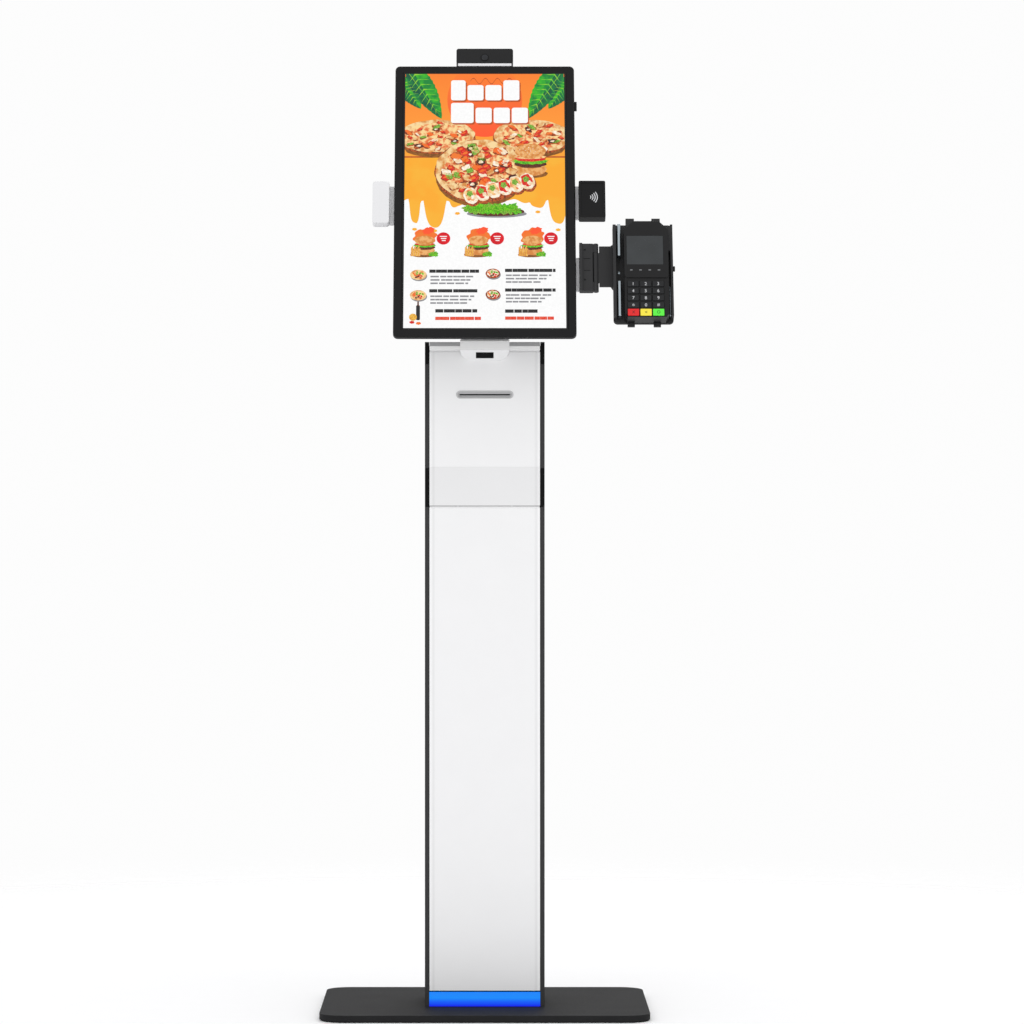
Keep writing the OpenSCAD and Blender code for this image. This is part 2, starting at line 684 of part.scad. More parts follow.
module terminal_arm() color([0.17, 0.17, 0.18]) in_head() difference() {
  union() {
    slab(swivel_d - 2, swivel_d + 2) polygon([[swivel_x, arm_v0], [swivel_x + swivel_r + 1, arm_v0],
      [swivel_x + swivel_r + 1, arm_low], [cradle_x - 4, arm_low], [cradle_x, arm_low - 6],
      [cradle_x, arm_high + 3], [cradle_x - 4, arm_high], [swivel_x + swivel_r + 1, arm_high],
      [swivel_x + swivel_r + 1, arm_v1], [swivel_x, arm_v1]]);
    block([cradle_x - 1, cradle_x + 24], [cradle_d + cradle_t, swivel_d + 2], [arm_low, arm_high]);
    translate([swivel_x, swivel_d, arm_v0]) cylinder(r = swivel_r, h = arm_v1 - arm_v0);
  }
  translate([swivel_x, swivel_d, arm_v0 - 1]) cylinder(r = swivel_pin_r + running, h = arm_v1 - arm_v0 + 2);
}

knob_v = cradle_v + 96;
knob_d = -4;
knob_r = 2;
cradle_end = cradle_x + cradle_w;

module terminal_cradle() color([0.13, 0.13, 0.14]) in_head() difference() {
  union() {
    translate([cradle_x + cradle_w / 2, 0, cradle_v + cradle_h / 2]) slab(cradle_d, cradle_d + cradle_t)
      round_rect(cradle_w, cradle_h, 7);
    block([cradle_x, cradle_x + 5], [cradle_d - cradle_wall_d, cradle_d],
      [cradle_v + 7, cradle_v + cradle_h - 7]);
    block([cradle_end - 4, cradle_end], [cradle_d - cradle_wall_d, cradle_d],
      [cradle_v + 7, cradle_v + cradle_h - 7]);
    block([term_x + term_w, cradle_end - 3], [cradle_d - cradle_wall_d, cradle_d],
      [cradle_v + 126, cradle_v + 172]);
    for (x = [cradle_x + 22, cradle_x + 65]) {
      block([x, x + 14], [cradle_d, cradle_d + cradle_t], [cradle_v + cradle_h - 2, cradle_v + cradle_h + 10]);
      block([x, x + 14], [cradle_d - 5, cradle_d + 1], [term_v + term_h + loose, cradle_v + cradle_h + 10]);
      block([x + 1, x + 13], [cradle_d, cradle_d + cradle_t], [cradle_v - 5, cradle_v + 2]);
    }
  }
  translate([0, knob_d, knob_v]) rod_x(cradle_end - 5, cradle_end + 1, knob_r + running);
}

module cradle_rails() color([0.7, 0.75, 0.78]) in_head() {
  for (v = [[8, 72], [118, 177]]) block([cradle_x + 7.5, cradle_x + 13], [cradle_d - 15, cradle_d],
    [cradle_v + v[0], cradle_v + v[1]]);
  block([cradle_end - 7.4, cradle_end - 4], [cradle_d - 14, cradle_d], [cradle_v + 8, cradle_v + 62]);
}

// A point on the terminal's front, at column i and row j of the number keys
function key_x(i) = keypad_x + (i - 1) * key_pitch_x;
function key_v(j) = key_v0 - j * key_pitch_v;

module key_block(x, v, h, grow, d0, d1) block([x - key_w / 2 - grow, x + key_w / 2 + grow], [d0, d1],
  [v - h / 2 - grow, v + h / 2 + grow]);

pocket_floor = term_front + bezel_rise + key_body + key_travel + 0.5;

module terminal_case() color([0.12, 0.12, 0.13]) in_head() difference() {
  union() {
    slab(term_front + bezel_rise, cradle_d) polygon([[term_x + 5, term_v], [term_x + term_w - 5, term_v],
      [term_x + term_w, term_v + 5], [term_x + term_w, term_v + term_h - 14],
      [term_x + term_w - 14, term_v + term_h], [term_x + 14, term_v + term_h],
      [term_x, term_v + term_h - 14], [term_x, term_v + 5]]);
    slab(term_front, term_front + bezel_rise + 1) polygon([[term_x + 4, term_v + keypad_h],
      [term_x + term_w - 4, term_v + keypad_h], [term_x + term_w, term_v + keypad_h + 4],
      [term_x + term_w, term_v + term_h - 15], [term_x + term_w - 15, term_v + term_h],
      [term_x + 15, term_v + term_h], [term_x, term_v + term_h - 15], [term_x, term_v + keypad_h + 4]]);
  }
  display_block(0);
  for (i = [0 : 2]) {
    for (j = [0 : 3]) key_block(key_x(i), key_v(j), key_h, loose, term_front - 1, pocket_floor);
    key_block(key_x(i), colour_key_v, colour_key_h, loose, term_front - 1, pocket_floor);
  }
}

module display_block(inset) block([term_x + 4 + inset, term_x + 4 + display_w - inset],
  [term_front + (inset > 0 ? 0.4 : -1), term_front + 1.6], [display_v + inset, display_v + display_h - inset]);

module terminal_display() color([0.3, 0.31, 0.31]) in_head() display_block(0.1);

module cradle_knob() color([0.1, 0.1, 0.1]) in_head() translate([0, knob_d, knob_v]) {
  rod_x(cradle_end - 3.8, cradle_end + 0.5, knob_r);
  rod_x(cradle_end + loose, cradle_end + 3.3, 4.5);
}

module any_key(x, v, h) in_head() key_block(x, v, h, 0, term_front + bezel_rise - key_proud,
  term_front + bezel_rise + key_body - 0.5);

module number_key(i, j) color([0.16, 0.16, 0.17]) any_key(key_x(i), key_v(j), key_h);
module colour_key(i, paint) color(paint) any_key(key_x(i), colour_key_v, colour_key_h);

base_pad();
base_plate();
foot_bolts();
column_channel();
column_top_cap();
side_trims();
light_diffuser();
light_board();
power_inlet();
power_supply();
lower_panel();
printer_door();
door_band();
slot_bezel();
scanner_hood();
scanner_window();
scanner_module();
printer_stand();
printer_body();
printer_cover();
platen_roller();
paper_roll();
neck_bracket();
tilt_pin();
tilt_plate();
vesa_screws();
rear_housing();
head_bezel();
touch_glass();
lcd_panel();
main_board();
speakers();
side_button();
camera_housing();
camera_lens();
accessory_mounts();
card_reader();
status_light();
terminal_adaptor();
terminal_arm();
terminal_cradle();
cradle_rails();
terminal_case();
terminal_display();
cradle_knob();
number_key(0, 0);  // key_1
number_key(1, 0);  // key_2
number_key(2, 0);  // key_3
number_key(0, 1);  // key_4
number_key(1, 1);  // key_5
number_key(2, 1);  // key_6
number_key(0, 2);  // key_7
number_key(1, 2);  // key_8
number_key(2, 2);  // key_9
number_key(0, 3);  // key_star
number_key(1, 3);  // key_0
number_key(2, 3);  // key_hash
colour_key(0, [0.8, 0, 0]);  // key_cancel
colour_key(1, [0.9, 0.84, 0.2]);  // key_clear
colour_key(2, [0.3, 0.85, 0.25]);  // key_enter
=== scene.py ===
import json
import math
import random

import bmesh
import bpy
from mathutils import Matrix, Vector


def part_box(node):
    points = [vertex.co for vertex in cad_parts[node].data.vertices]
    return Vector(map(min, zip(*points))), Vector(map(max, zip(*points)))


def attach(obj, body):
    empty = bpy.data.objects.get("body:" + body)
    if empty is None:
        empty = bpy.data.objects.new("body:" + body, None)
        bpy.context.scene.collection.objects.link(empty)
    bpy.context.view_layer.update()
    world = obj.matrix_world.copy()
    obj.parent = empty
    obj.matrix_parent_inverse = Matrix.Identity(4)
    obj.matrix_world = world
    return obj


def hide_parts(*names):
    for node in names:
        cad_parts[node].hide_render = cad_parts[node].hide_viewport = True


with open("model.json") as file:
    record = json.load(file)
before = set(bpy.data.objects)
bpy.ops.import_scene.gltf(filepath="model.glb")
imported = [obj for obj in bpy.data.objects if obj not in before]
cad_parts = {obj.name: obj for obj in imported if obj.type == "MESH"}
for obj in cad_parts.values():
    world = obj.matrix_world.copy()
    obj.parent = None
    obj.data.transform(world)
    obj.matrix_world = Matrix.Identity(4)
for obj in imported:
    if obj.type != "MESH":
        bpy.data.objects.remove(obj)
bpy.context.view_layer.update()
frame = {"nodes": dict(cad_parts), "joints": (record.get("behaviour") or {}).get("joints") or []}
nodes = frame["nodes"]
MM = 0.001


# ---- places taken from the frame ----

def joint(name):
    """The frame's record of one joint."""
    return next(j for j in frame["joints"] if j["name"] == name)


def leaning_frame():
    """The head's own frame: x across, y into its depth, z up the screen from the lower front edge."""
    up = Vector(joint("terminal_swivel")["axis"]).normalized()
    low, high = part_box("head_bezel")
    size = high - low
    height = (size.z * up.z - size.y * up.y) / (up.z ** 2 - up.y ** 2)
    origin = Vector((0, low.y, high.z - height * up.z))
    matrix = Matrix(((1, 0, 0, origin.x), (0, up.z, up.y, origin.y),
                     (0, -up.y, up.z, origin.z), (0, 0, 0, 1)))
    return matrix, height


HEAD, HEAD_H = leaning_frame()
HEAD_INVERSE = HEAD.inverted()


def head_box(node):
    """Lowest and highest corner of a CAD node in the head's own frame."""
    points = [HEAD_INVERSE @ v.co for v in nodes[node].data.vertices]
    return (Vector(tuple(min(p[i] for p in points) for i in range(3))),
            Vector(tuple(max(p[i] for p in points) for i in range(3))))


# ---- materials ----

RAMP_LOW = 0.3         # the stretch of a noise's range that a colour ramp spreads over
RAMP_HIGH = 0.7
COAT_ROUGHNESS = 0.08
WEAR_FROM = 0.52       # pointiness of the surface where wear starts, and where it is full
WEAR_TO = 0.6
WORN_TONE = 2.2        # how much paler worn paint is
SECOND_TONE = 0.96     # a glowing colour's own mottle, where no second colour is given
GLOW_ROUGHNESS = 0.25
GLOW_GLOSS = 0.2
UNLIT = (0.01, 0.01, 0.01, 1)


def srgb(r, g, b):
    """A colour given as 0 to 255 screen values, in the linear values that the shader takes."""
    def linear(v):
        v /= 255
        return v / 12.92 if v <= 0.04045 else ((v + 0.055) / 1.055) ** 2.4
    return linear(r), linear(g), linear(b), 1.0


def new_material(name):
    """An empty material with its node tree and its shader."""
    material = bpy.data.materials.new(name)
    material.use_nodes = True
    tree = material.node_tree
    return material, tree, tree.nodes["Principled BSDF"]


def add(tree, kind, **values):
    """A new node; a value's name is an input's name with _ for a space, or else a property."""
    node = tree.nodes.new(kind)
    for key, value in values.items():
        socket = node.inputs.get(key.replace("_", " "))
        if socket is not None:
            socket.default_value = value
        else:
            setattr(node, key, value)
    return node


def ramp_of(tree, source, stops):
    """A colour ramp fed by a value; stops are (position, colour)."""
    ramp = tree.nodes.new("ShaderNodeValToRGB")
    while len(ramp.color_ramp.elements) < len(stops):
        ramp.color_ramp.elements.new(0.5)
    for element, (position, colour) in zip(ramp.color_ramp.elements, stops):
        element.position = position
        element.color = colour
    tree.links.new(source, ramp.inputs["Fac"])
    return ramp


def noise_of(tree, scale, detail=4.0, stretch=(1, 1, 1)):
    """Noise over the rest place of the surface, in metres; scale is in features per metre."""
    place = add(tree, "ShaderNodeTexCoord")
    mapping = add(tree, "ShaderNodeMapping")
    mapping.inputs["Scale"].default_value = stretch
    noise = add(tree, "ShaderNodeTexNoise", Scale=scale, Detail=detail)
    tree.links.new(place.outputs["Object"], mapping.inputs["Vector"])
    tree.links.new(mapping.outputs["Vector"], noise.inputs["Vector"])
    return noise


def bump_of(tree, shader, height, strength, distance):
    """Grain raised by a value; distance is its depth in metres."""
    bump = add(tree, "ShaderNodeBump", Strength=strength, Distance=distance)
    tree.links.new(height, bump.inputs["Height"])
    tree.links.new(bump.outputs["Normal"], shader.inputs["Normal"])


def shade(colour, factor):
    """A colour made paler or darker by a factor."""
    return tuple(min(1.0, c * factor) for c in colour[:3]) + (1.0,)


def surface(name, colour, rough=0.5, spread=0.08, grain=900.0, bump=0.15,
            metal=0.0, coat=0.0, stretch=(1, 1, 1), wear=0.0, cloud=14.0, gloss=0.5):
    """A coated, moulded or rolled surface: fine grain in its bump and roughness, slow clouds in its
    colour, and paler wear along its edges. Grain and cloud are in features per metre."""
    grain_depth = 0.08 * MM
    rough_spread = 0.08
    material, tree, shader = new_material(name)
    shader.inputs["Metallic"].default_value = metal
    shader.inputs["Coat Weight"].default_value = coat
    shader.inputs["Coat Roughness"].default_value = COAT_ROUGHNESS
    shader.inputs["Specular IOR Level"].default_value = gloss
    clouds = noise_of(tree, cloud, 5.0)
    tone = ramp_of(tree, clouds.outputs["Fac"],
                   [(RAMP_LOW, shade(colour, 1 - spread)), (RAMP_HIGH, shade(colour, 1 + spread))])
    result = tone.outputs["Color"]
    if wear:
        geometry = add(tree, "ShaderNodeNewGeometry")
        edge = ramp_of(tree, geometry.outputs["Pointiness"],
                       [(WEAR_FROM, (0, 0, 0, 1)), (WEAR_TO, (wear, wear, wear, 1))])
        mix = add(tree, "ShaderNodeMix", data_type="RGBA")
        tree.links.new(edge.outputs["Color"], mix.inputs[0])
        tree.links.new(result, mix.inputs[6])
        mix.inputs[7].default_value = shade(colour, WORN_TONE)
        result = mix.outputs[2]
    tree.links.new(result, shader.inputs["Base Color"])
    fine = noise_of(tree, grain, 3.0, stretch)
    rough_ramp = ramp_of(tree, fine.outputs["Fac"], [
        (RAMP_LOW, (rough - rough_spread,) * 3 + (1,)),
        (RAMP_HIGH, (rough + rough_spread,) * 3 + (1,))])
    tree.links.new(rough_ramp.outputs["Color"], shader.inputs["Roughness"])
    bump_of(tree, shader, fine.outputs["Fac"], bump, grain_depth)
    return material


def glowing(name):
    """A dark smooth material that gives its own light, its glow's colour still to be set."""
    material, tree, shader = new_material(name)
    shader.inputs["Base Color"].default_value = UNLIT
    shader.inputs["Roughness"].default_value = GLOW_ROUGHNESS
    shader.inputs["Specular IOR Level"].default_value = GLOW_GLOSS
    shader.inputs["Emission Strength"].default_value = 1.0
    return material, tree, shader


def lit(name, colour, second=None, grain=300.0, low=0.42, high=0.58):
    """A picture colour on the display: it glows, with a second colour mottled into it."""
    material, tree, shader = glowing(name)
    noise = noise_of(tree, grain, 3.0)
    other = second or shade(colour, SECOND_TONE)
    tone = ramp_of(tree, noise.outputs["Fac"], [(low, colour), (high, other)])
    tree.links.new(tone.outputs["Color"], shader.inputs["Emission Color"])
    return material


def lit_rise(name, stops, low, high):
    """A glowing colour that changes with height between two heights in metres."""
    material, tree, shader = glowing(name)
    place = add(tree, "ShaderNodeTexCoord")
    split = add(tree, "ShaderNodeSeparateXYZ")
    rise = add(tree, "ShaderNodeMapRange")
    rise.inputs["From Min"].default_value = low
    rise.inputs["From Max"].default_value = high
    tree.links.new(place.outputs["Object"], split.inputs["Vector"])
    tree.links.new(split.outputs["Z"], rise.inputs["Value"])
    tone = ramp_of(tree, rise.outputs["Result"], stops)
    tree.links.new(tone.outputs["Color"], shader.inputs["Emission Color"])
    return material


def give(node, look):
    """One look on the whole of a CAD node."""
    mesh = nodes[node].data
    mesh.materials.clear()
    mesh.materials.append(looks[look])


looks = {
    "rubber_pad": surface("rubber_pad", srgb(20, 20, 21), 0.85, 0.15, 700, 0.4, gloss=0.2),
    "dark_paint": surface("dark_paint", srgb(44, 44, 45), 0.5, 0.06, 1600, 0.25, wear=0.12, gloss=0.22),
    "base_paint": surface("base_paint", srgb(36, 36, 37), 0.66, 0.1, 1300, 0.35, wear=0.15, gloss=0.06),
    "frame_paint": surface("frame_paint", srgb(20, 20, 21), 0.45, 0.07, 1800, 0.2, wear=0.08, gloss=0.16),
    "white_paint": surface("white_paint", srgb(233, 233, 234), 0.34, 0.008, 1400, 0.1, coat=0.15),
    "steel": surface("steel", srgb(178, 178, 180), 0.3, 0.05, 1200, 0.2, metal=1.0, stretch=(1, 1, 9)),
    "sheet_alloy": surface("sheet_alloy", srgb(190, 192, 194), 0.35, 0.04, 900, 0.2, metal=1.0,
                           stretch=(1, 12, 1)),
    "rail_metal": surface("rail_metal", srgb(168, 178, 184), 0.22, 0.06, 900, 0.15, metal=1.0,
                          stretch=(14, 14, 1)),
    "black_trim": surface("black_trim", srgb(8, 8, 9), 0.4, 0.2, 600, 0.04, gloss=0.08),
    "black_plastic": surface("black_plastic", srgb(20, 20, 21), 0.5, 0.1, 1700, 0.35, gloss=0.16),
    "charcoal_plastic": surface("charcoal_plastic", srgb(30, 30, 31), 0.48, 0.08, 1700, 0.3, gloss=0.2),
    "terminal_plastic": surface("terminal_plastic", srgb(20, 20, 21), 0.36, 0.09, 1500, 0.25, gloss=0.25),
    "board": surface("board", srgb(20, 84, 44), 0.35, 0.25, 500, 0.3, coat=0.4),
    "pale_plastic": surface("pale_plastic", srgb(226, 226, 228), 0.42, 0.015, 1500, 0.15),
    "grey_plastic": surface("grey_plastic", srgb(120, 120, 122), 0.5, 0.04, 1500, 0.25),
    "display": surface("display", srgb(52, 55, 57), 0.2, 0.12, 300, 0.02, cloud=30.0, gloss=0.35),
    "paper": surface("paper", srgb(238, 238, 234), 0.8, 0.02, 900, 0.3),
    "roller_rubber": surface("roller_rubber", srgb(24, 24, 25), 0.75, 0.1, 900, 0.3, gloss=0.25),
    "red_key": surface("red_key", srgb(214, 8, 14), 0.42, 0.06, 1500, 0.2),
    "yellow_key": surface("yellow_key", srgb(238, 220, 58), 0.42, 0.06, 1500, 0.2),
    "green_key": surface("green_key", srgb(86, 232, 60), 0.42, 0.06, 1500, 0.2),
    "charcoal_key": surface("charcoal_key", srgb(30, 31, 33), 0.42, 0.06, 1500, 0.2, gloss=0.25),
    "screen": surface("screen", srgb(6, 6, 7), 0.16, 0.2, 300, 0.01, gloss=0.3),
    "legend": surface("legend", srgb(205, 206, 208), 0.5, 0.03, 1500, 0.1),
    "dim_mark": surface("dim_mark", srgb(120, 122, 124), 0.5, 0.03, 1500, 0.1),
    "lens_glass": surface("lens_glass", srgb(14, 17, 24), 0.1, 0.3, 300, 0.01, coat=0.3, gloss=0.3),
    "seam_paint": surface("seam_paint", srgb(240, 240, 241), 0.4, 0.02, 1400, 0.1),
    "window_black": surface("window_black", srgb(3, 3, 4), 0.5, 0.2, 600, 0.04, gloss=0.03),
    "slot_grey": surface("slot_grey", srgb(176, 176, 177), 0.45, 0.03, 1400, 0.15),
}


# ---- shapes ----

def mesh_piece(name, bm, material, body, smooth=30):
    """The finished bmesh as a piece that rides on a body; material is one look's name or a list of them,
    and smooth is the angle in degrees up to which neighbouring faces shade as one, or 0."""
    bmesh.ops.recalc_face_normals(bm, faces=bm.faces)
    mesh = bpy.data.meshes.new(name)
    bm.to_mesh(mesh)
    bm.free()
    piece = bpy.data.objects.new(name, mesh)
    bpy.context.scene.collection.objects.link(piece)
    for look in material if isinstance(material, list) else [material]:
        mesh.materials.append(looks[look])
    if smooth:
        mesh.shade_smooth()
        mesh.set_sharp_from_angle(angle=math.radians(smooth))
    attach(piece, body)
    return piece


def round_outline(width, height, radius, steps=8):
    """Points of a rectangle with round corners, anticlockwise, centred."""
    least_radius = 0.001 * MM
    points = []
    radius = max(radius, least_radius)
    for corner in range(4):
        start = corner * math.pi / 2
        cx = (width / 2 - radius) * (1 if corner in (0, 3) else -1)
        cy = (height / 2 - radius) * (1 if corner in (0, 1) else -1)
        for i in range(steps + 1):
            a = start + math.pi / 2 * i / steps
            points.append((cx + radius * math.cos(a), cy + radius * math.sin(a)))
    return points


def rounded_loft(bm, matrix, width, height, radius, profile, ring=False, steps=8):
    """Loops of a rounded rectangle, one for each (inset, depth) of the profile, joined in turn.
    matrix takes (x, depth, z) to the world. A ring's last loop joins its first; otherwise both ends
    are capped."""
    loops = []
    for inset, depth in profile:
        outline = round_outline(width - 2 * inset, height - 2 * inset, radius - inset, steps)
        loops.append([bm.verts.new(matrix @ Vector((x, depth, z))) for x, z in outline])
    pairs = list(zip(loops, loops[1:])) + ([(loops[-1], loops[0])] if ring else [])
    for a, b in pairs:
        for i in range(len(a)):
            j = (i + 1) % len(a)
            bm.faces.new((a[i], a[j], b[j], b[i]))
    if not ring:
        bm.faces.new(loops[0])
        bm.faces.new(loops[-1])


def quarter(inset, depth, radius):
    """Profile points that round an edge: from the side face at inset to the front face at depth."""
    steps = 5
    points = []
    for i in range(steps + 1):
        a = math.pi / 2 * i / steps
        points.append((inset + radius * (1 - math.cos(a)), depth + radius * (1 - math.sin(a))))
    return points


def prism(bm, matrix, points, near, far, material=0):
    """A flat outline in (x, z), given thickness between two depths; material counts the piece's slots."""
    front = [bm.verts.new(matrix @ Vector((x, near, z))) for x, z in points]
    back = [bm.verts.new(matrix @ Vector((x, far, z))) for x, z in points]
    faces = [bm.faces.new(front), bm.faces.new(back[::-1])]
    for i in range(len(points)):
        j = (i + 1) % len(points)
        faces.append(bm.faces.new((front[i], back[i], back[j], front[j])))
    for face in faces:
        face.material_index = material


def place(x, depth, z):
    """A place given in the head's own frame."""
    return HEAD @ Matrix.Translation((x, depth, z))


def tube_profile(bm, matrix, outline, steps=32):
    """A turned shape about the depth axis: outline is (radius, depth) points, closed at both ends."""
    rings = []
    for radius, depth in outline:
        ring = []
        for i in range(steps):
            a = 2 * math.pi * i / steps
            ring.append(bm.verts.new(matrix @ Vector((radius * math.cos(a), depth, radius * math.sin(a)))))
        rings.append(ring)
    for a, b in zip(rings, rings[1:]):
        for i in range(steps):
            j = (i + 1) % steps
            bm.faces.new((a[i], a[j], b[j], b[i]))
    bm.faces.new(rings[0])
    bm.faces.new(rings[-1])


def soften(node, width):
    """Rounds a CAD node's edges, as a moulded or folded part's are."""
    same_point = 0.01 * MM
    flat_angle = 1
    edge_angle = 35
    piece = nodes[node]
    weld = piece.modifiers.new("weld", "WELD")
    weld.merge_threshold = same_point
    flat = piece.modifiers.new("flat", "DECIMATE")
    flat.decimate_type = "DISSOLVE"
    flat.angle_limit = math.radians(flat_angle)
    bevel = piece.modifiers.new("round", "BEVEL")
    bevel.width = width
    bevel.segments = 3
    bevel.limit_method = "ANGLE"
    bevel.angle_limit = math.radians(edge_angle)
    bevel.use_clamp_overlap = True
    bevel.harden_normals = False
    normals = piece.modifiers.new("shade", "WEIGHTED_NORMAL")
    normals.keep_sharp = False


# ---- finishes of the CAD nodes ----

finish_of = {
    "rubber_pad": ["base_pad"],
    "base_paint": ["base_plate"],
    "dark_paint": ["column_channel", "tilt_plate", "rear_housing", "terminal_adaptor", "terminal_arm",
                   "terminal_cradle"],
    "steel": ["foot_bolts", "tilt_pin", "vesa_screws"],
    "black_trim": ["side_trims", "camera_lens"],
    "window_black": ["scanner_window"],
    "pale_plastic": ["light_board", "accessory_mounts", "status_light"],
    "black_plastic": ["power_inlet", "speakers", "side_button", "card_reader", "cradle_knob"],
    "sheet_alloy": ["power_supply", "printer_stand", "lcd_panel"],
    "white_paint": ["neck_bracket"],
    "grey_plastic": ["printer_cover"],
    "board": ["scanner_module", "main_board"],
    "charcoal_plastic": ["printer_body", "camera_housing"],
    "terminal_plastic": ["terminal_case"],
    "roller_rubber": ["platen_roller"],
    "paper": ["paper_roll"],
    "frame_paint": ["head_bezel"],
    "screen": ["touch_glass"],
    "rail_metal": ["cradle_rails"],
    "display": ["terminal_display"],
    "red_key": ["key_cancel"],
    "yellow_key": ["key_clear"],
    "green_key": ["key_enter"],
    "charcoal_key": ["key_" + k for k in [*"0123456789", "star", "hash"]],
}

# Width in millimetres of the rounded edges
KEY_EDGE = 0.9
edge_of = {
    "base_plate": 2.0, "base_pad": 0.4, "column_channel": 0.8, "column_top_cap": 0.6, "side_trims": 0.6,
    "lower_panel": 0.7, "printer_door": 0.7, "door_band": 0.3, "slot_bezel": 0.4, "scanner_hood": 1.6,
    "scanner_window": 0.3, "neck_bracket": 1.0, "tilt_plate": 0.8, "rear_housing": 1.6,
    "camera_housing": 1.4, "card_reader": 0.7, "status_light": 1.8, "terminal_adaptor": 0.6,
    "terminal_arm": 0.8, "terminal_cradle": 1.0, "cradle_rails": 1.6, "terminal_case": 1.2,
    "terminal_display": 0.15, "power_supply": 0.8, "printer_body": 0.8, "printer_cover": 0.8,
    "printer_stand": 0.4, "speakers": 1.0, "side_button": 0.6, "accessory_mounts": 0.4,
    "power_inlet": 0.5, "foot_bolts": 0.4, "paper_roll": 0.3, "tilt_pin": 0.8, "cradle_knob": 0.5,
}

for look, members in finish_of.items():
    for member in members:
        give(member, look)
for member, width in edge_of.items():
    soften(member, width * MM)
for member in nodes:
    if member.startswith("key_"):
        soften(member, KEY_EDGE * MM)


# ---- front frame of the display, rebuilt with its rounded outer edge ----

def display_frame():
    """The bezel around the glass, with a round outer edge and a small chamfer at the glass."""
    low, high = head_box("head_bezel")
    size = high - low
    glass_low, glass_high = head_box("touch_glass")
    clearance = 0.2 * MM
    border = (size.x - (glass_high.x - glass_low.x)) / 2 - clearance
    edge = 3.2 * MM
    chamfer = 0.8 * MM
    corner = 8 * MM
    profile = [(0, high.y)] + quarter(0, low.y, edge)
    profile += [(border - chamfer, low.y), (border, low.y + chamfer), (border, high.y)]
    bm = bmesh.new()
    rounded_loft(bm, place(0, 0, HEAD_H / 2), size.x, size.z, corner, profile, ring=True)
    piece = mesh_piece("display_frame", bm, "frame_paint", "head", 40)
    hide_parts("head_bezel")


display_frame()


# ---- the menu shown on the display ----
# Places on it are shares: u of its width from the left, w of its height from the foot.
# Layers count towards the viewer, so that a higher one covers a lower one.

glass_low, glass_high = head_box("touch_glass")
SCREEN_W = 268 * MM      # picture area of a 21.5 inch panel held upright
SCREEN_H = 476 * MM
SCREEN_Z = (glass_low.z + glass_high.z) / 2 - SCREEN_H / 2
LAYER = 0.02 * MM        # how far each layer stands in front of the one below it
SAME_PLACE = 0.02 * MM   # points nearer than this count as one
LEAST_AREA = 1e-8        # square metres; smaller shapes are left out
bottom_of_screen = (HEAD @ Vector((0, 0, SCREEN_Z))).z
top_of_screen = (HEAD @ Vector((0, 0, SCREEN_Z + SCREEN_H))).z

looks["menu_orange"] = lit_rise("menu_orange", [
    (0.5, srgb(250, 186, 40)), (0.62, srgb(249, 168, 44)), (0.8, srgb(252, 150, 48)),
    (1.0, srgb(250, 128, 38))], bottom_of_screen, top_of_screen)
looks["menu_red"] = lit_rise("menu_red", [
    (0.74, srgb(252, 84, 40)), (0.88, srgb(248, 104, 40)), (1.0, srgb(250, 124, 38))],
    bottom_of_screen, top_of_screen)
looks["menu_white"] = lit("menu_white", srgb(252, 252, 252))
looks["menu_floor"] = lit("menu_floor", srgb(250, 170, 38), srgb(248, 178, 46), grain=20)
looks["menu_shadow"] = lit("menu_shadow", srgb(120, 70, 20), srgb(150, 92, 30), grain=200)
looks["menu_shade"] = lit("menu_shade", srgb(176, 74, 22), srgb(190, 84, 26), grain=100)
looks["menu_crust"] = lit("menu_crust", srgb(247, 216, 158), srgb(214, 140, 66), grain=110, high=0.64)
looks["menu_bake"] = lit("menu_bake", srgb(196, 92, 34), srgb(120, 46, 18))
looks["menu_cheese"] = lit("menu_cheese", srgb(250, 216, 150), srgb(228, 112, 58), grain=150,
                           low=0.44, high=0.62)
looks["menu_tomato"] = lit("menu_tomato", srgb(210, 26, 20), srgb(240, 84, 56), low=0.5, high=0.66)
looks["menu_olive"] = lit("menu_olive", srgb(64, 30, 22), srgb(96, 44, 30), grain=600)
looks["menu_green"] = lit("menu_green", srgb(86, 150, 40), srgb(150, 190, 70), grain=500)
looks["menu_leaf"] = lit("menu_leaf", srgb(10, 132, 52), srgb(60, 190, 30), grain=70, low=0.4, high=0.62)
looks["menu_leaf_dark"] = lit("menu_leaf_dark", srgb(4, 86, 60), srgb(10, 120, 60), grain=120)
looks["menu_vein"] = lit("menu_vein", srgb(150, 210, 50), srgb(90, 190, 50), grain=120)
looks["menu_cream"] = lit("menu_cream", srgb(254, 244, 226), srgb(240, 210, 168), grain=200)
looks["menu_bun"] = lit("menu_bun", srgb(238, 178, 110), srgb(212, 134, 62), grain=160)
looks["menu_meat"] = lit("menu_meat", srgb(112, 52, 28), srgb(60, 28, 18), grain=600)
looks["menu_lettuce"] = lit("menu_lettuce", srgb(118, 210, 40), srgb(60, 160, 20), grain=420)
looks["menu_dot"] = lit("menu_dot", srgb(222, 0, 26), srgb(206, 0, 22), grain=60)
looks["menu_flame"] = lit("menu_flame", srgb(244, 108, 34), srgb(240, 120, 40), grain=60)
looks["menu_fry"] = lit("menu_fry", srgb(246, 196, 80), srgb(214, 148, 48), grain=600)
looks["menu_ink"] = lit("menu_ink", srgb(34, 34, 36))
looks["menu_grey"] = lit("menu_grey", srgb(142, 142, 146))
looks["menu_red_ink"] = lit("menu_red_ink", srgb(226, 60, 40), srgb(232, 90, 60))
MENU_LOOKS = [name for name in looks if name.startswith("menu_")]

menu = bmesh.new()
chance = random.Random(7)


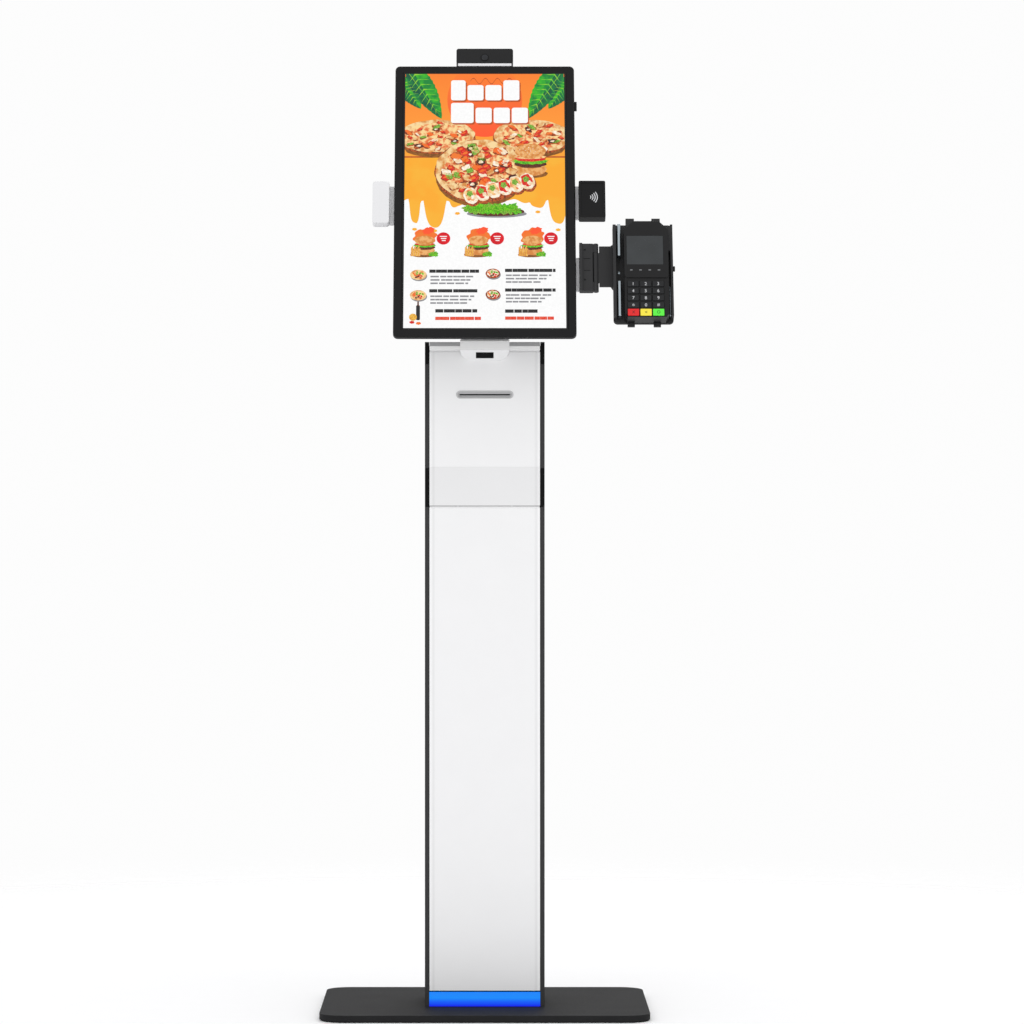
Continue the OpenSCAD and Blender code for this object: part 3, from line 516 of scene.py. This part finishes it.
def ink(points, look, layer):
    """A flat shape on the display, cut off at its edges; points are (u, w)."""
    outline = [((u - 0.5) * SCREEN_W, SCREEN_Z + w * SCREEN_H) for u, w in points]
    outline = [(min(max(x, -SCREEN_W / 2), SCREEN_W / 2),
                min(max(z, SCREEN_Z), SCREEN_Z + SCREEN_H)) for x, z in outline]
    area = sum(a[0] * b[1] - b[0] * a[1] for a, b in zip(outline, outline[1:] + outline[:1]))
    if area < 0:
        outline.reverse()
    unique = [p for p, q in zip(outline, outline[1:] + outline[:1])
              if math.dist(p, q) > SAME_PLACE]
    if len(unique) < 3 or abs(area) < LEAST_AREA:
        return
    prism(menu, HEAD, unique, glass_low.y - layer * LAYER, glass_low.y + 0.01 * MM,
          MENU_LOOKS.index(look))


def blob(u, w, size_u, size_w, look, layer, turn=0.0, ripple=0.0, waves=7, steps=26):
    """An oval with a rippled edge; sizes are half widths in millimetres, turn is in radians."""
    phase = chance.uniform(0, 6.3)
    points = []
    for i in range(steps):
        a = 2 * math.pi * i / steps
        r = 1 + ripple * math.sin(waves * a + phase) + ripple * 0.6 * math.sin((waves + 4) * a + 2 * phase)
        x = size_u * r * math.cos(a)
        z = size_w * r * math.sin(a)
        points.append((u + (x * math.cos(turn) - z * math.sin(turn)) * MM / SCREEN_W,
                       w + (x * math.sin(turn) + z * math.cos(turn)) * MM / SCREEN_H))
    ink(points, look, layer)


def bar(u0, w0, u1, w1, look, layer, radius=0.6):
    """A bar with round ends or corners; radius in millimetres."""
    width = (u1 - u0) * SCREEN_W
    height = (w1 - w0) * SCREEN_H
    outline = round_outline(width, height, min(radius * MM, width / 2.01, height / 2.01), 4)
    ink([((u0 + u1) / 2 + x / SCREEN_W, (w0 + w1) / 2 + z / SCREEN_H) for x, z in outline], look, layer)


def greeked(u0, w, length, height, look, layer, share=0.75):
    """A line that stands for printed words: a row of bars of uneven length. share is how much of each
    word's room its bar fills."""
    at = u0
    while at < u0 + length - 0.01:
        word = min(chance.uniform(0.025, 0.07), u0 + length - at)
        bar(at, w - height / 2, at + word * share + 0.004, w + height / 2, look, layer, 0.4)
        at += word


def leaf(u, w, length, width, turn, flip=1):
    """A broad leaf: its blade with a notched edge, its midrib and side veins; sizes in millimetres."""
    def at(along, across):
        x = along * length * math.cos(turn) - across * width * math.sin(turn)
        z = along * length * math.sin(turn) + across * width * math.cos(turn)
        return u + flip * x * MM / SCREEN_W, w + z * MM / SCREEN_H

    def half_width(t):
        return math.sin(math.pi * min(1, t ** 0.75)) ** 0.8 * (1 - 0.06 * (int(t * 26) % 2))
    steps = 40
    side_a = [at(i / steps, half_width(i / steps)) for i in range(steps + 1)]
    side_b = [at(i / steps, -half_width(i / steps)) for i in range(steps, -1, -1)]
    ink(side_a[1:-1] + side_b[:-1], "menu_leaf", 6)
    ink(side_b[1:-1] + [at(i / steps, -0.02) for i in range(1, steps)], "menu_leaf_dark", 7)
    for k in range(2, 10):
        t = k / 11
        for side in (1, -1):
            tip = at(t + 0.09, side * half_width(min(t + 0.09, 1)) * 0.9)
            ink([at(t, 0.0), tip, at(t + 0.022, 0.0)], "menu_vein", 8)
    ink([at(0.02, 0.03), at(0.98, 0.004), at(0.98, -0.004), at(0.02, -0.03)], "menu_vein", 8)


def pizza(u, w, rx, rz, turn, layer, count, reach=0.8):
    """A pizza seen at a slant: shadow, crust, cheese and scattered toppings; radii in millimetres."""
    blob(u, w - 0.012, rx * 1.0, rz * 1.04, "menu_shadow", layer, turn, 0.01)
    blob(u, w, rx, rz, "menu_bake", layer + 1, turn, 0.012, 9, 60)
    blob(u, w + 0.004, rx * 0.985, rz * 0.965, "menu_crust", layer + 2, turn, 0.012, 9, 60)
    blob(u, w + 0.004, rx * 0.82, rz * 0.78, "menu_cheese", layer + 3, turn, 0.03, 8, 60)
    kinds = ["menu_tomato", "menu_flame", "menu_cream", "menu_tomato", "menu_green", "menu_crust",
             "menu_olive"]
    for i in range(count):
        a = 2.4 * i + chance.uniform(-0.4, 0.4)
        r = reach * math.sqrt((i + 0.5) / count)
        x = rx * r * math.cos(a) * MM
        z = rz * r * math.sin(a) * MM
        cu = u + (x * math.cos(turn) - z * math.sin(turn)) / SCREEN_W
        cw = w + 0.004 + (x * math.sin(turn) + z * math.cos(turn)) / SCREEN_H
        kind = kinds[i % len(kinds)]
        size = chance.uniform(4.2, 8.0) * rx / 62
        squash = rz / rx
        blob(cu, cw - 0.0022, size * 1.1, size * squash * 1.15, "menu_bake", layer + 4,
             chance.uniform(-0.6, 0.6), 0.1, 4)
        blob(cu, cw, size, size * squash * chance.uniform(0.7, 1.05), kind, layer + 5,
             chance.uniform(-0.8, 0.8), 0.12, 4)
        if kind == "menu_tomato":
            blob(cu - 0.003, cw + 0.0012, size * 0.5, size * squash * 0.32, "menu_flame", layer + 6,
                 0.4, 0.1, 3)
        if kind == "menu_olive":
            blob(cu, cw, size * 0.45, size * squash * 0.4, "menu_cream", layer + 6, 0.2, 0.1, 3)


# Places along the display's width where the poster's colour drips: centre, half width, drop
DRIPS = [(0.065, 0.036, 0.088), (0.19, 0.07, 0.094), (0.33, 0.05, 0.026), (0.955, 0.06, 0.09),
         (0.83, 0.05, 0.02)]
FLOOR = 0.667    # height on the poster where its background meets its table


def torn(u):
    """Height of the poster's torn lower edge."""
    edge = 0.492 + 0.006 * math.sin(21 * u + 0.6) + 0.004 * math.sin(57 * u)
    for centre, half, drop in DRIPS:
        edge -= drop * max(0.0, 1 - ((u - centre) / half) ** 4)
    return edge


def poster():
    """The poster's background: sky, table, torn and dripping edge, leaves, and a wavy line."""
    bar(0, 0, 1, 1, "menu_white", 1, 0)
    edge = [(i / 160, torn(i / 160)) for i in range(161)]
    ink([(0, 1)] + edge + [(1, 1)], "menu_orange", 2)
    ink([(0, FLOOR)] + edge + [(1, FLOOR)], "menu_floor", 3)
    bar(0, FLOOR - 0.003, 1, FLOOR + 0.003, "menu_shade", 4, 0)
    blob(0.5, 0.896, 63, 71, "menu_red", 4, ripple=0.0, steps=60)
    for centre, half, drop in DRIPS:
        blob(centre, 0.47 - drop, 4.2, 2.6, "menu_floor", 3, ripple=0.1)
    for side, edge_u in ((1, 0.0), (-1, 1.0)):
        leaf(edge_u - side * 0.05, 0.99, 74, 17, -1.0, side)
        leaf(edge_u + side * 0.02, 1.04, 119, 21, -1.08, side)
    squiggle = [(0.41 + 0.26 * i / 24, 0.971 + 0.012 * math.sin(i * 0.9)) for i in range(25)]
    half = 0.0016
    ink([(u, w + half) for u, w in squiggle] + [(u, w - half) for u, w in squiggle[::-1]],
        "menu_shade", 5)


def title_blocks(u0, u1, w0, w1, widths, heights):
    """A row of plain blocks with a shadow, where a poster has its heading; widths are relative, and
    heights are shares of the row's."""
    gap = 0.012
    shadow_u = 0.008
    shadow_w = 0.006
    corner = 4
    at = u0
    for width, height in zip(widths, heights):
        span = (u1 - u0 - gap * (len(widths) - 1)) * width / sum(widths)
        top = w0 + (w1 - w0) * height
        bar(at + shadow_u, w0 - shadow_w, at + span + shadow_u, top - shadow_w, "menu_shade", 15, corner)
        bar(at, w0, at + span, top, "menu_white", 16, corner)
        at += span + gap


def sandwich():
    """The layers of a burger from its shadow up, and the seeds on its bun."""
    blob(0.785, 0.600, 29, 8, "menu_shadow", 10, ripple=0.02)
    blob(0.785, 0.618, 27, 13, "menu_bun", 11, ripple=0.01)
    blob(0.785, 0.640, 27, 8, "menu_meat", 12, ripple=0.04)
    blob(0.785, 0.650, 29, 6, "menu_lettuce", 13, ripple=0.07, waves=11)
    blob(0.785, 0.659, 26, 5, "menu_tomato", 14, ripple=0.04)
    blob(0.785, 0.667, 26, 4, "menu_cheese", 15, ripple=0.05)
    blob(0.785, 0.690, 26, 14, "menu_bun", 16, ripple=0.01, steps=40)
    seeds = 22
    for i in range(seeds):
        reach = (i / seeds) ** 0.5
        blob(0.785 + 0.075 * math.cos(2.4 * i) * reach, 0.694 + 0.02 * math.sin(2.4 * i) * reach,
             0.9, 0.5, "menu_cream", 17, chance.uniform(0, 3), steps=8)


def rolls():
    """A row of filled rolls on a bed of leaves."""
    blob(0.575, 0.443, 50, 7.5, "menu_grey", 4, ripple=0.01)
    blob(0.57, 0.452, 47, 9, "menu_meat", 5, ripple=0.02)
    for i in range(26):
        blob(0.395 + 0.3 * i / 25, 0.462 + 0.008 * math.sin(i * 1.7), 9, 6,
             "menu_lettuce" if i % 3 else "menu_green", 16, chance.uniform(-0.7, 0.7), 0.2, 5)
    for i in range(6):
        u = 0.415 + 0.07 * i
        w = 0.513 + 0.0115 * i
        blob(u + 0.006, w - 0.008, 13.5, 16.5, "menu_bake", 17, 0.3, 0.02)
        blob(u, w, 12.5, 15.5, "menu_cream", 18, 0.3, 0.03)
        blob(u - 0.004, w + 0.004, 9.2, 11.6, "menu_tomato" if i % 2 else "menu_cheese", 19, 0.3, 0.09, 5)
        blob(u - 0.008, w + 0.008, 5.0, 5.4, "menu_green", 20, 0.3, 0.14, 5)
        blob(u + 0.014, w - 0.006, 3.6, 4.2, "menu_cream", 21, 0.3, 0.12, 4)


def thumbnail(u, dot):
    """A small dish picture: a torn patch of colour, a burger, fries and leaves, and a red dot at dot."""
    blob(u + 0.13, 0.352, 19, 16, "menu_flame", 4, 0.15, 0.09, 6, 40)
    blob(u + 0.152, 0.377, 10, 6, "menu_red", 5, 0.3, 0.1)
    blob(u + 0.12, 0.283, 22, 5, "menu_shadow", 6, ripple=0.02)
    blob(u + 0.128, 0.299, 17, 8.5, "menu_bun", 7, ripple=0.01)
    blob(u + 0.128, 0.312, 17.5, 5, "menu_meat", 8, ripple=0.05)
    blob(u + 0.128, 0.3185, 18.5, 3.6, "menu_lettuce", 9, ripple=0.09, waves=9)
    blob(u + 0.128, 0.324, 16.5, 3, "menu_tomato", 10, ripple=0.04)
    blob(u + 0.128, 0.338, 16.5, 9, "menu_bun", 11, ripple=0.01)
    for i in range(9):
        start = u + 0.042 + 0.0065 * i
        top = 0.312 + 0.006 * math.sin(i * 2.1)
        ink([(start, 0.277), (start + 0.007, 0.277), (start + 0.009, top), (start + 0.002, top)],
            "menu_fry" if i % 2 else "menu_bun", 12 + i % 2)
    for i in range(5):
        blob(u + 0.168 + 0.008 * i, 0.284 + 0.003 * (i % 2), 4.4, 3.2,
             "menu_green" if i % 2 else "menu_lettuce", 13, 0.4 * i, 0.18, 5)
    blob(dot, 0.346, 11.4, 11.4, "menu_dot", 15, steps=40)
    for k in range(3):
        drop = 0.008 * k
        bar(dot - 0.022 + 0.006 * k, 0.352 - drop, dot + 0.022 - 0.004 * k, 0.3555 - drop,
            "menu_white", 16, 0.3)


def small_dish(u, w, plate):
    """A dish seen from above, on a pale plate or in a dark bowl."""
    half_w, half_h = (13.7, 9.4) if plate else (12, 9)
    blob(u + 0.004, w - 0.005, half_w, half_h, "menu_grey", 3, steps=36)
    blob(u, w, half_w, half_h, "menu_crust" if plate else "menu_bake", 4, steps=36, ripple=0.01)
    blob(u, w + 0.001, half_w * 0.8, half_h * 0.74, "menu_cheese" if plate else "menu_cream", 5,
         steps=30, ripple=0.05)
    kinds = ["menu_tomato", "menu_green", "menu_olive", "menu_lettuce", "menu_flame"]
    count = 11
    for i in range(count):
        a = 2.4 * i
        r = math.sqrt((i + 0.5) / count) * 0.66
        kind = kinds[i % len(kinds)]
        blob(u + half_w * r * math.cos(a) * MM / SCREEN_W, w + half_h * r * math.sin(a) * MM / SCREEN_H,
             2.2, 1.5, kind, 6 + i % 2, chance.uniform(0, 3), 0.16, 4, 12)


def price_list():
    """Dishes with their captions, two rows of them, and the lines and the bottle at the poster's foot."""
    for k in range(2):
        drop = 0.076 * k
        small_dish(0.09, 0.205 - drop * 1.04, True)
        small_dish(0.55, 0.210 - drop * 1.07, False)
        greeked(0.158, 0.219 - drop, 0.306, 0.0125, "menu_ink", 3, 0.86)
        greeked(0.625, 0.222 - drop, 0.31, 0.0125, "menu_ink", 3, 0.86)
        for line in range(3):
            greeked(0.165, 0.198 - drop - 0.013 * line, 0.272 - 0.02 * line, 0.0062, "menu_grey", 3, 0.8)
            greeked(0.63, 0.203 - drop - 0.013 * line, 0.28 - 0.03 * line, 0.0062, "menu_grey", 3, 0.8)
    greeked(0.196, 0.066, 0.258, 0.013, "menu_ink", 3, 0.86)
    greeked(0.625, 0.065, 0.207, 0.013, "menu_ink", 3, 0.86)
    greeked(0.196, 0.037, 0.282, 0.0125, "menu_red_ink", 3, 0.86)
    greeked(0.625, 0.038, 0.307, 0.0125, "menu_red_ink", 3, 0.86)
    bar(0.078, 0.03, 0.102, 0.088, "menu_ink", 3, 2.4)
    bar(0.085, 0.084, 0.095, 0.102, "menu_meat", 4, 1)
    blob(0.059, 0.0415, 6.5, 6.5, "menu_fry", 5, steps=30)
    blob(0.053, 0.022, 4.2, 2.6, "menu_tomato", 6, ripple=0.1)
    blob(0.093, 0.018, 4.2, 2.6, "menu_flame", 6, ripple=0.1)


poster()
pizza(0.195, 0.7465, 66, 32, 0.03, 5, 26)
pizza(0.80, 0.7465, 66, 32, -0.03, 5, 26)
title_blocks(0.288, 0.718, 0.893, 0.974, [1.0, 1.1, 1.1, 1.1], [1.0, 0.76, 0.76, 1.0])
title_blocks(0.288, 0.771, 0.802, 0.883, [1.4, 1.0, 1.0, 1.0], [1.0, 0.76, 0.76, 0.76])
pizza(0.468, 0.61, 75, 60, 0.0, 9, 60)
sandwich()
rolls()
for column in range(3):
    thumbnail(0.333 * column, 0.244 + 0.333 * column)
price_list()
mesh_piece("menu_picture", menu, MENU_LOOKS, "head", 0)


# ---- colours that change across one part: painted shade and painted highlight, and the light strip's glow ----

def painted_shade_split(name, axis, at, below, above):
    """A surface whose colour changes at one height or depth, in metres; the darker side is painted shade.
    """
    spread = 0.015
    material = surface(name, below, 0.4, spread, 1400, 0.12)
    tree = material.node_tree
    shader = tree.nodes["Principled BSDF"]
    first = shader.inputs["Base Color"].links[0].from_socket
    position = add(tree, "ShaderNodeTexCoord")
    split = add(tree, "ShaderNodeSeparateXYZ")
    step = add(tree, "ShaderNodeMath", operation="GREATER_THAN")
    step.inputs[1].default_value = at
    # the colour past the split; on whichever side is darker it is painted shade
    second = ramp_of(tree, noise_of(tree, 14, 5.0).outputs["Fac"],
                     [(RAMP_LOW, shade(above, 1 - spread)), (RAMP_HIGH, shade(above, 1 + spread))])
    mix = add(tree, "ShaderNodeMix", data_type="RGBA")
    tree.links.new(position.outputs["Object"], split.inputs["Vector"])
    tree.links.new(split.outputs[axis], step.inputs[0])
    tree.links.new(step.outputs["Value"], mix.inputs[0])
    tree.links.new(first, mix.inputs[6])
    tree.links.new(second.outputs["Color"], mix.inputs[7])
    tree.links.new(mix.outputs[2], shader.inputs["Base Color"])
    looks[name] = material


CAP_SHADE_BAND = 7 * MM         # height of the top cap's darker upper edge, painted shade under the head
HOOD_CREASE = 16.5 * MM  # height of the crease above the scanner hood's foot; below it the hood is painted darker as painted shade
SLOT_RIM = 2 * MM        # depth of the receipt slot's paler rim; deeper in, the bezel is painted darker as painted shade
# the cap's upper edge is painted grey: painted shade where the head overhangs it
painted_shade_split("cap_painted_shade", "Z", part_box("column_top_cap")[1].z - CAP_SHADE_BAND,
         srgb(252, 252, 252), srgb(166, 166, 167))
give("column_top_cap", "cap_painted_shade")
# the hood's sloping lower face is painted darker than its upper face: painted shade
painted_shade_split("hood_painted_shade", "Z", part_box("scanner_hood")[0].z + HOOD_CREASE,
         srgb(236, 236, 237), srgb(253, 253, 253))
give("scanner_hood", "hood_painted_shade")
# past its rim the slot bezel is painted darker: painted shade inside the slot
painted_shade_split("slot_painted_shade", "Y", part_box("slot_bezel")[0].y + SLOT_RIM,
         srgb(188, 188, 189), srgb(120, 120, 122))
give("slot_bezel", "slot_painted_shade")
strip_low, strip_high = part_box("light_diffuser")
looks["blue_diffuser"] = lit_rise("blue_diffuser", [
    (0.0, srgb(0, 10, 236)), (0.35, srgb(0, 96, 248)), (0.6, srgb(0, 138, 250)), (1.0, srgb(2, 128, 250))],
    strip_low.z, strip_high.z)
give("light_diffuser", "blue_diffuser")


def paint_with_painted_edge_light(name, paint):
    """Door paint with painted light along its sides: a thin dark line of painted shade where the flat face
    meets the rounded edge, and a paler strip of painted highlight on that rounded edge outside it.
    """
    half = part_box("lower_panel")[1].x
    line = 85.7 * MM
    line_half = 0.6 * MM
    # inner is the flat face; dark is painted shade at the crease; outer is a painted highlight on the
    # rounded edge
    inner = (0.965, 0.965, 0.965, 1)
    dark = (0.8, 0.8, 0.8, 1)
    outer = (1, 1, 1, 1)
    material = surface(name, paint, 0.34, 0.008, 1400, 0.1, coat=0.15)
    tree = material.node_tree
    shader = tree.nodes["Principled BSDF"]
    first = shader.inputs["Base Color"].links[0].from_socket
    position = add(tree, "ShaderNodeTexCoord")
    split = add(tree, "ShaderNodeSeparateXYZ")
    away = add(tree, "ShaderNodeMath", operation="ABSOLUTE")
    painted_edge_light = ramp_of(tree, away.outputs["Value"], [
        (0.0, inner), (line - line_half, inner), (line, dark),
        (line + line_half, outer), (half + 1 * MM, outer)])
    mix = add(tree, "ShaderNodeMix", data_type="RGBA", blend_type="MULTIPLY")
    mix.inputs[0].default_value = 1.0
    tree.links.new(position.outputs["Object"], split.inputs["Vector"])
    tree.links.new(split.outputs["X"], away.inputs[0])
    tree.links.new(first, mix.inputs[6])
    tree.links.new(painted_edge_light.outputs["Color"], mix.inputs[7])
    tree.links.new(mix.outputs[2], shader.inputs["Base Color"])
    looks[name] = material


# the door panels carry painted shade and a painted highlight along their side edges
paint_with_painted_edge_light("door_paint_and_edge_light", srgb(236, 236, 237))
paint_with_painted_edge_light("door_band_paint_and_edge_light", srgb(227, 227, 228))
give("lower_panel", "door_paint_and_edge_light")
give("printer_door", "door_paint_and_edge_light")
give("door_band", "door_band_paint_and_edge_light")


# ---- marks and small fittings ----

def legend(text, key, share, look="legend"):
    """A printed mark on a key's front, from the plain built-in letter shapes; share is its size in
    parts of the key's height."""
    low, high = head_box(key)
    half_thickness = 0.04 * MM
    curve = bpy.data.curves.new(key + "_shape", "FONT")
    curve.body = text
    curve.size = (high.z - low.z) * share
    curve.align_x = "CENTER"
    curve.align_y = "CENTER"
    curve.extrude = half_thickness
    curve.resolution_u = 6
    shape = bpy.data.objects.new(key + "_shape", curve)
    bpy.context.scene.collection.objects.link(shape)
    bpy.context.view_layer.update()
    mesh = bpy.data.meshes.new_from_object(shape.evaluated_get(bpy.context.evaluated_depsgraph_get()))
    bpy.data.objects.remove(shape)
    heights = [v.co.y for v in mesh.vertices]
    middle = (max(heights) + min(heights)) / 2
    mesh.transform(place((low.x + high.x) / 2, low.y, (low.z + high.z) / 2)
                   @ Matrix.Rotation(math.pi / 2, 4, "X") @ Matrix.Translation((0, -middle, 0)))
    mesh.materials.clear()
    mesh.materials.append(looks[look])
    mesh.name = key + "_legend"
    piece = bpy.data.objects.new(key + "_legend", mesh)
    bpy.context.scene.collection.objects.link(piece)
    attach(piece, key)


for digit in "0123456789":
    legend(digit, "key_" + digit, 0.8)
legend("*", "key_star", 1.1)
legend("#", "key_hash", 0.75)
legend("X", "key_cancel", 0.6, "screen")
legend("<", "key_clear", 0.7, "screen")
legend("O", "key_enter", 0.6, "screen")


def terminal_lamps():
    """Four small lamps in a row under the terminal's display."""
    low, high = head_box("terminal_display")
    face = head_box("terminal_case")[0].y
    pitch = 15.2 * MM
    below_display = 10.5 * MM
    half_thickness = 0.05 * MM
    outline = round_outline(4.2 * MM, 1.8 * MM, 0.4 * MM, 4)
    bm = bmesh.new()
    for step in (-1.5, -0.5, 0.5, 1.5):
        prism(bm, place((low.x + high.x) / 2 + step * pitch, 0, low.z - below_display), outline,
              face - half_thickness, face + half_thickness)
    mesh_piece("terminal_lamps", bm, "dim_mark", "terminal", 0)


terminal_lamps()


def reader_mark():
    """Four plain arcs on the contactless reader, each wider than the last."""
    low, high = head_box("card_reader")
    offset = 6 * MM
    rise = 38 * MM
    recess = 1.0 * MM
    centre = (low.x + high.x) / 2 - offset
    height = low.z + rise
    face = low.y + recess
    first = 4 * MM
    pitch = 3.6 * MM
    half_line = 0.75 * MM
    spread = 0.72
    raised = 0.08 * MM
    sunk = 0.04 * MM
    steps = 14
    arc = [-spread + 2 * spread * i / steps for i in range(steps + 1)]
    bm = bmesh.new()
    for ring in range(4):
        far = first + pitch * ring + half_line
        near = first + pitch * ring - half_line
        outer = [(far * math.cos(a), far * math.sin(a)) for a in arc]
        inner = [(near * math.cos(a), near * math.sin(a)) for a in arc[::-1]]
        prism(bm, place(centre, 0, height), outer + inner, face - raised, face + sunk)
    mesh_piece("reader_mark", bm, "legend", "head", 0)


reader_mark()


def slot_throat():
    """The receipt slot's sloping grey throat, down to a narrow slit for the paper."""
    low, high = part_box("slot_bezel")
    width = high.x - low.x
    height = high.z - low.z
    mouth = 2.2 * MM
    slit = 5.6 * MM
    profile = [(mouth, low.y + 0.6 * MM), (slit, low.y + 3 * MM), (slit, low.y + 4 * MM),
               (mouth, low.y + 4 * MM)]
    bm = bmesh.new()
    rounded_loft(bm, Matrix.Translation((0, 0, (low.z + high.z) / 2)), width, height, height / 2,
                 profile, ring=True, steps=12)
    mesh_piece("slot_throat", bm, "slot_grey", "printer_door")


def gap_strips():
    """Pale strips set back in the joints above and below the printer door."""
    door_low, door_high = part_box("printer_door")
    cap_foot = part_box("column_top_cap")[0].z
    panel_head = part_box("lower_panel")[1].z
    width = door_high.x - door_low.x - 1 * MM
    front = door_low.y + 0.9 * MM
    above_door = 0.2 * MM
    below_cap = 0.1 * MM
    above_panel = 0.15 * MM
    lower_reach = 2.3 * MM
    profile = [(0.1 * MM, front), (0, front + 0.1 * MM), (0, front + 2.1 * MM)]
    for name, z0, z1 in (("upper_gap_strip", door_high.z + above_door, cap_foot - below_cap),
                         ("lower_gap_strip", panel_head + above_panel, panel_head + lower_reach)):
        bm = bmesh.new()
        rounded_loft(bm, Matrix.Translation((0, 0, (z0 + z1) / 2)), width, z1 - z0, 0.2 * MM, profile)
        mesh_piece(name, bm, "seam_paint", "stand")


def camera_seat():
    """The pale strip that the camera housing stands on."""
    low, high = head_box("camera_housing")
    share_of_width = 0.94
    width = (high.x - low.x) * share_of_width
    clearance = 0.2 * MM
    foot = HEAD_H + clearance
    top = low.z
    front = 0.4 * MM
    back = 10 * MM
    chamfer = 0.2 * MM
    bm = bmesh.new()
    rounded_loft(bm, place((low.x + high.x) / 2, 0, (foot + top) / 2), width, top - foot, 0.4 * MM,
                 [(chamfer, front), (0, front + chamfer), (0, back)])
    mesh_piece("camera_seat", bm, "pale_plastic", "head")


def hinge_backing():
    """A dark strip behind the swivel's clearance, so that no light shows through it."""
    low, high = head_box("terminal_adaptor")
    arm_edge = head_box("terminal_arm")[0].x
    behind_adaptor = 5 * MM
    behind_arm = 3 * MM
    x0 = arm_edge - behind_adaptor
    x1 = arm_edge + behind_arm
    share_of_height = 0.8
    height = (high.z - low.z) * share_of_height
    bm = bmesh.new()
    rounded_loft(bm, place((x0 + x1) / 2, 0, (low.z + high.z) / 2), x1 - x0, height, 1 * MM,
                 [(0, high.y + 0.1 * MM), (0, high.y + 0.9 * MM), (0.3 * MM, high.y + 1.2 * MM)])
    mesh_piece("hinge_backing", bm, "dark_paint", "head")


hinge_backing()


def cradle_screw():
    """The bright screw in the cradle's face, between the two left guide strips."""
    low, high = head_box("cradle_rails")
    strip_width = 5 * MM
    below_display = 3.2 * MM
    base = place(low.x + strip_width / 2, 0, head_box("terminal_display")[0].z - below_display)
    bm = bmesh.new()
    tube_profile(bm, base, [(2.4 * MM, high.y + 0.1 * MM), (2.4 * MM, high.y - 0.8 * MM),
                            (2.1 * MM, high.y - 1.2 * MM), (1.1 * MM, high.y - 1.4 * MM),
                            (0.9 * MM, high.y - 0.7 * MM), (0.1 * MM, high.y - 0.6 * MM)], 32)
    mesh_piece("cradle_screw", bm, "rail_metal", "terminal")


cradle_screw()
slot_throat()
gap_strips()
camera_seat()


def camera_glass():
    """The camera's raised ring and its domed lens."""
    low, high = head_box("camera_lens")
    base = place((low.x + high.x) / 2, 0, (low.z + high.z) / 2)
    radius = (high.x - low.x) / 2
    ring = bmesh.new()
    tube_profile(ring, base, [(radius * 1.2, low.y + 0.4 * MM), (radius * 1.2, low.y - 0.2 * MM),
                              (radius * 1.14, low.y - 0.4 * MM), (radius * 1.06, low.y - 0.4 * MM),
                              (radius, low.y - 0.1 * MM)], 40)
    mesh_piece("camera_ring", ring, "black_plastic", "head")
    dome = bmesh.new()
    dome_radius = radius * 0.96
    dome_rise = 0.8 * MM
    angles = [i * math.pi / 16 for i in range(1, 8)]
    profile = [(dome_radius, low.y + 0.1 * MM)]
    profile += [(dome_radius * math.cos(a), low.y - dome_rise * math.sin(a)) for a in angles]
    tube_profile(dome, base, profile, 40)
    mesh_piece("camera_dome", dome, "lens_glass", "head")


camera_glass()


# ---- floor, light and camera ----

def floor_look():
    """Pale floor that fades into the pale surroundings with distance from the object."""
    material = surface("floor", srgb(250, 250, 251), 0.6, 0.004, 60, 0.02, gloss=0.2)
    tree = material.node_tree
    position = add(tree, "ShaderNodeTexCoord")
    distance = add(tree, "ShaderNodeVectorMath", operation="LENGTH")
    fade = add(tree, "ShaderNodeMapRange", interpolation_type="SMOOTHSTEP")
    fade_from = 0.7
    fade_to = 3.2
    for key, value in (("From Min", fade_from), ("From Max", fade_to), ("To Min", 1.0), ("To Max", 0.0)):
        fade.inputs[key].default_value = value
    tree.links.new(position.outputs["Object"], distance.inputs[0])
    tree.links.new(distance.outputs["Value"], fade.inputs["Value"])
    tree.links.new(fade.outputs["Result"], tree.nodes["Principled BSDF"].inputs["Alpha"])
    return material


def studio():
    """The pale floor, an even pale surround, and four large soft lamps in watts."""
    floor_mesh = bpy.data.meshes.new("floor")
    bm = bmesh.new()
    bmesh.ops.create_grid(bm, x_segments=1, y_segments=1, size=14)
    bm.to_mesh(floor_mesh)
    bm.free()
    floor = bpy.data.objects.new("floor", floor_mesh)
    bpy.context.scene.collection.objects.link(floor)
    floor_mesh.materials.append(floor_look())

    world = bpy.data.worlds.new("studio")
    bpy.context.scene.world = world
    world.use_nodes = True
    background = world.node_tree.nodes["Background"]
    background.inputs["Color"].default_value = (1, 1, 1, 1)
    background.inputs["Strength"].default_value = 0.98

    def lamp(name, place_at, size, power, target=(0, 0, 0.95)):
        data = bpy.data.lights.new(name, "AREA")
        data.shape = "RECTANGLE"
        data.size, data.size_y = size
        data.energy = power
        light = bpy.data.objects.new(name, data)
        light.location = place_at
        direction = Vector(target) - Vector(place_at)
        light.rotation_euler = direction.to_track_quat("-Z", "Y").to_euler()
        bpy.context.scene.collection.objects.link(light)
    lamp("key_light", (-2.2, -3.6, 3.2), (2.4, 2.4), 12)
    lamp("fill_light", (2.8, -3.2, 2.0), (2.0, 2.6), 6)
    lamp("front_light", (0.2, -5.2, 0.7), (2.6, 1.8), 13)
    lamp("back_light", (0.6, 3.4, 3.4), (2.4, 2.0), 26)


def camera():
    """A level view from straight in front; the shift keeps the kiosk left of the frame's middle."""
    distance = 6.689
    height = 0.838
    data = bpy.data.cameras.new("camera")
    data.lens = 139.2
    data.sensor_width = 36
    data.shift_x = 0.0266
    data.clip_end = 60
    eye = bpy.data.objects.new("camera", data)
    eye.location = (0, -distance, height)
    eye.rotation_euler = (math.pi / 2, 0, 0)
    bpy.context.scene.collection.objects.link(eye)
    bpy.context.scene.camera = eye


studio()
camera()
bpy.context.scene.view_settings.view_transform = "Standard"
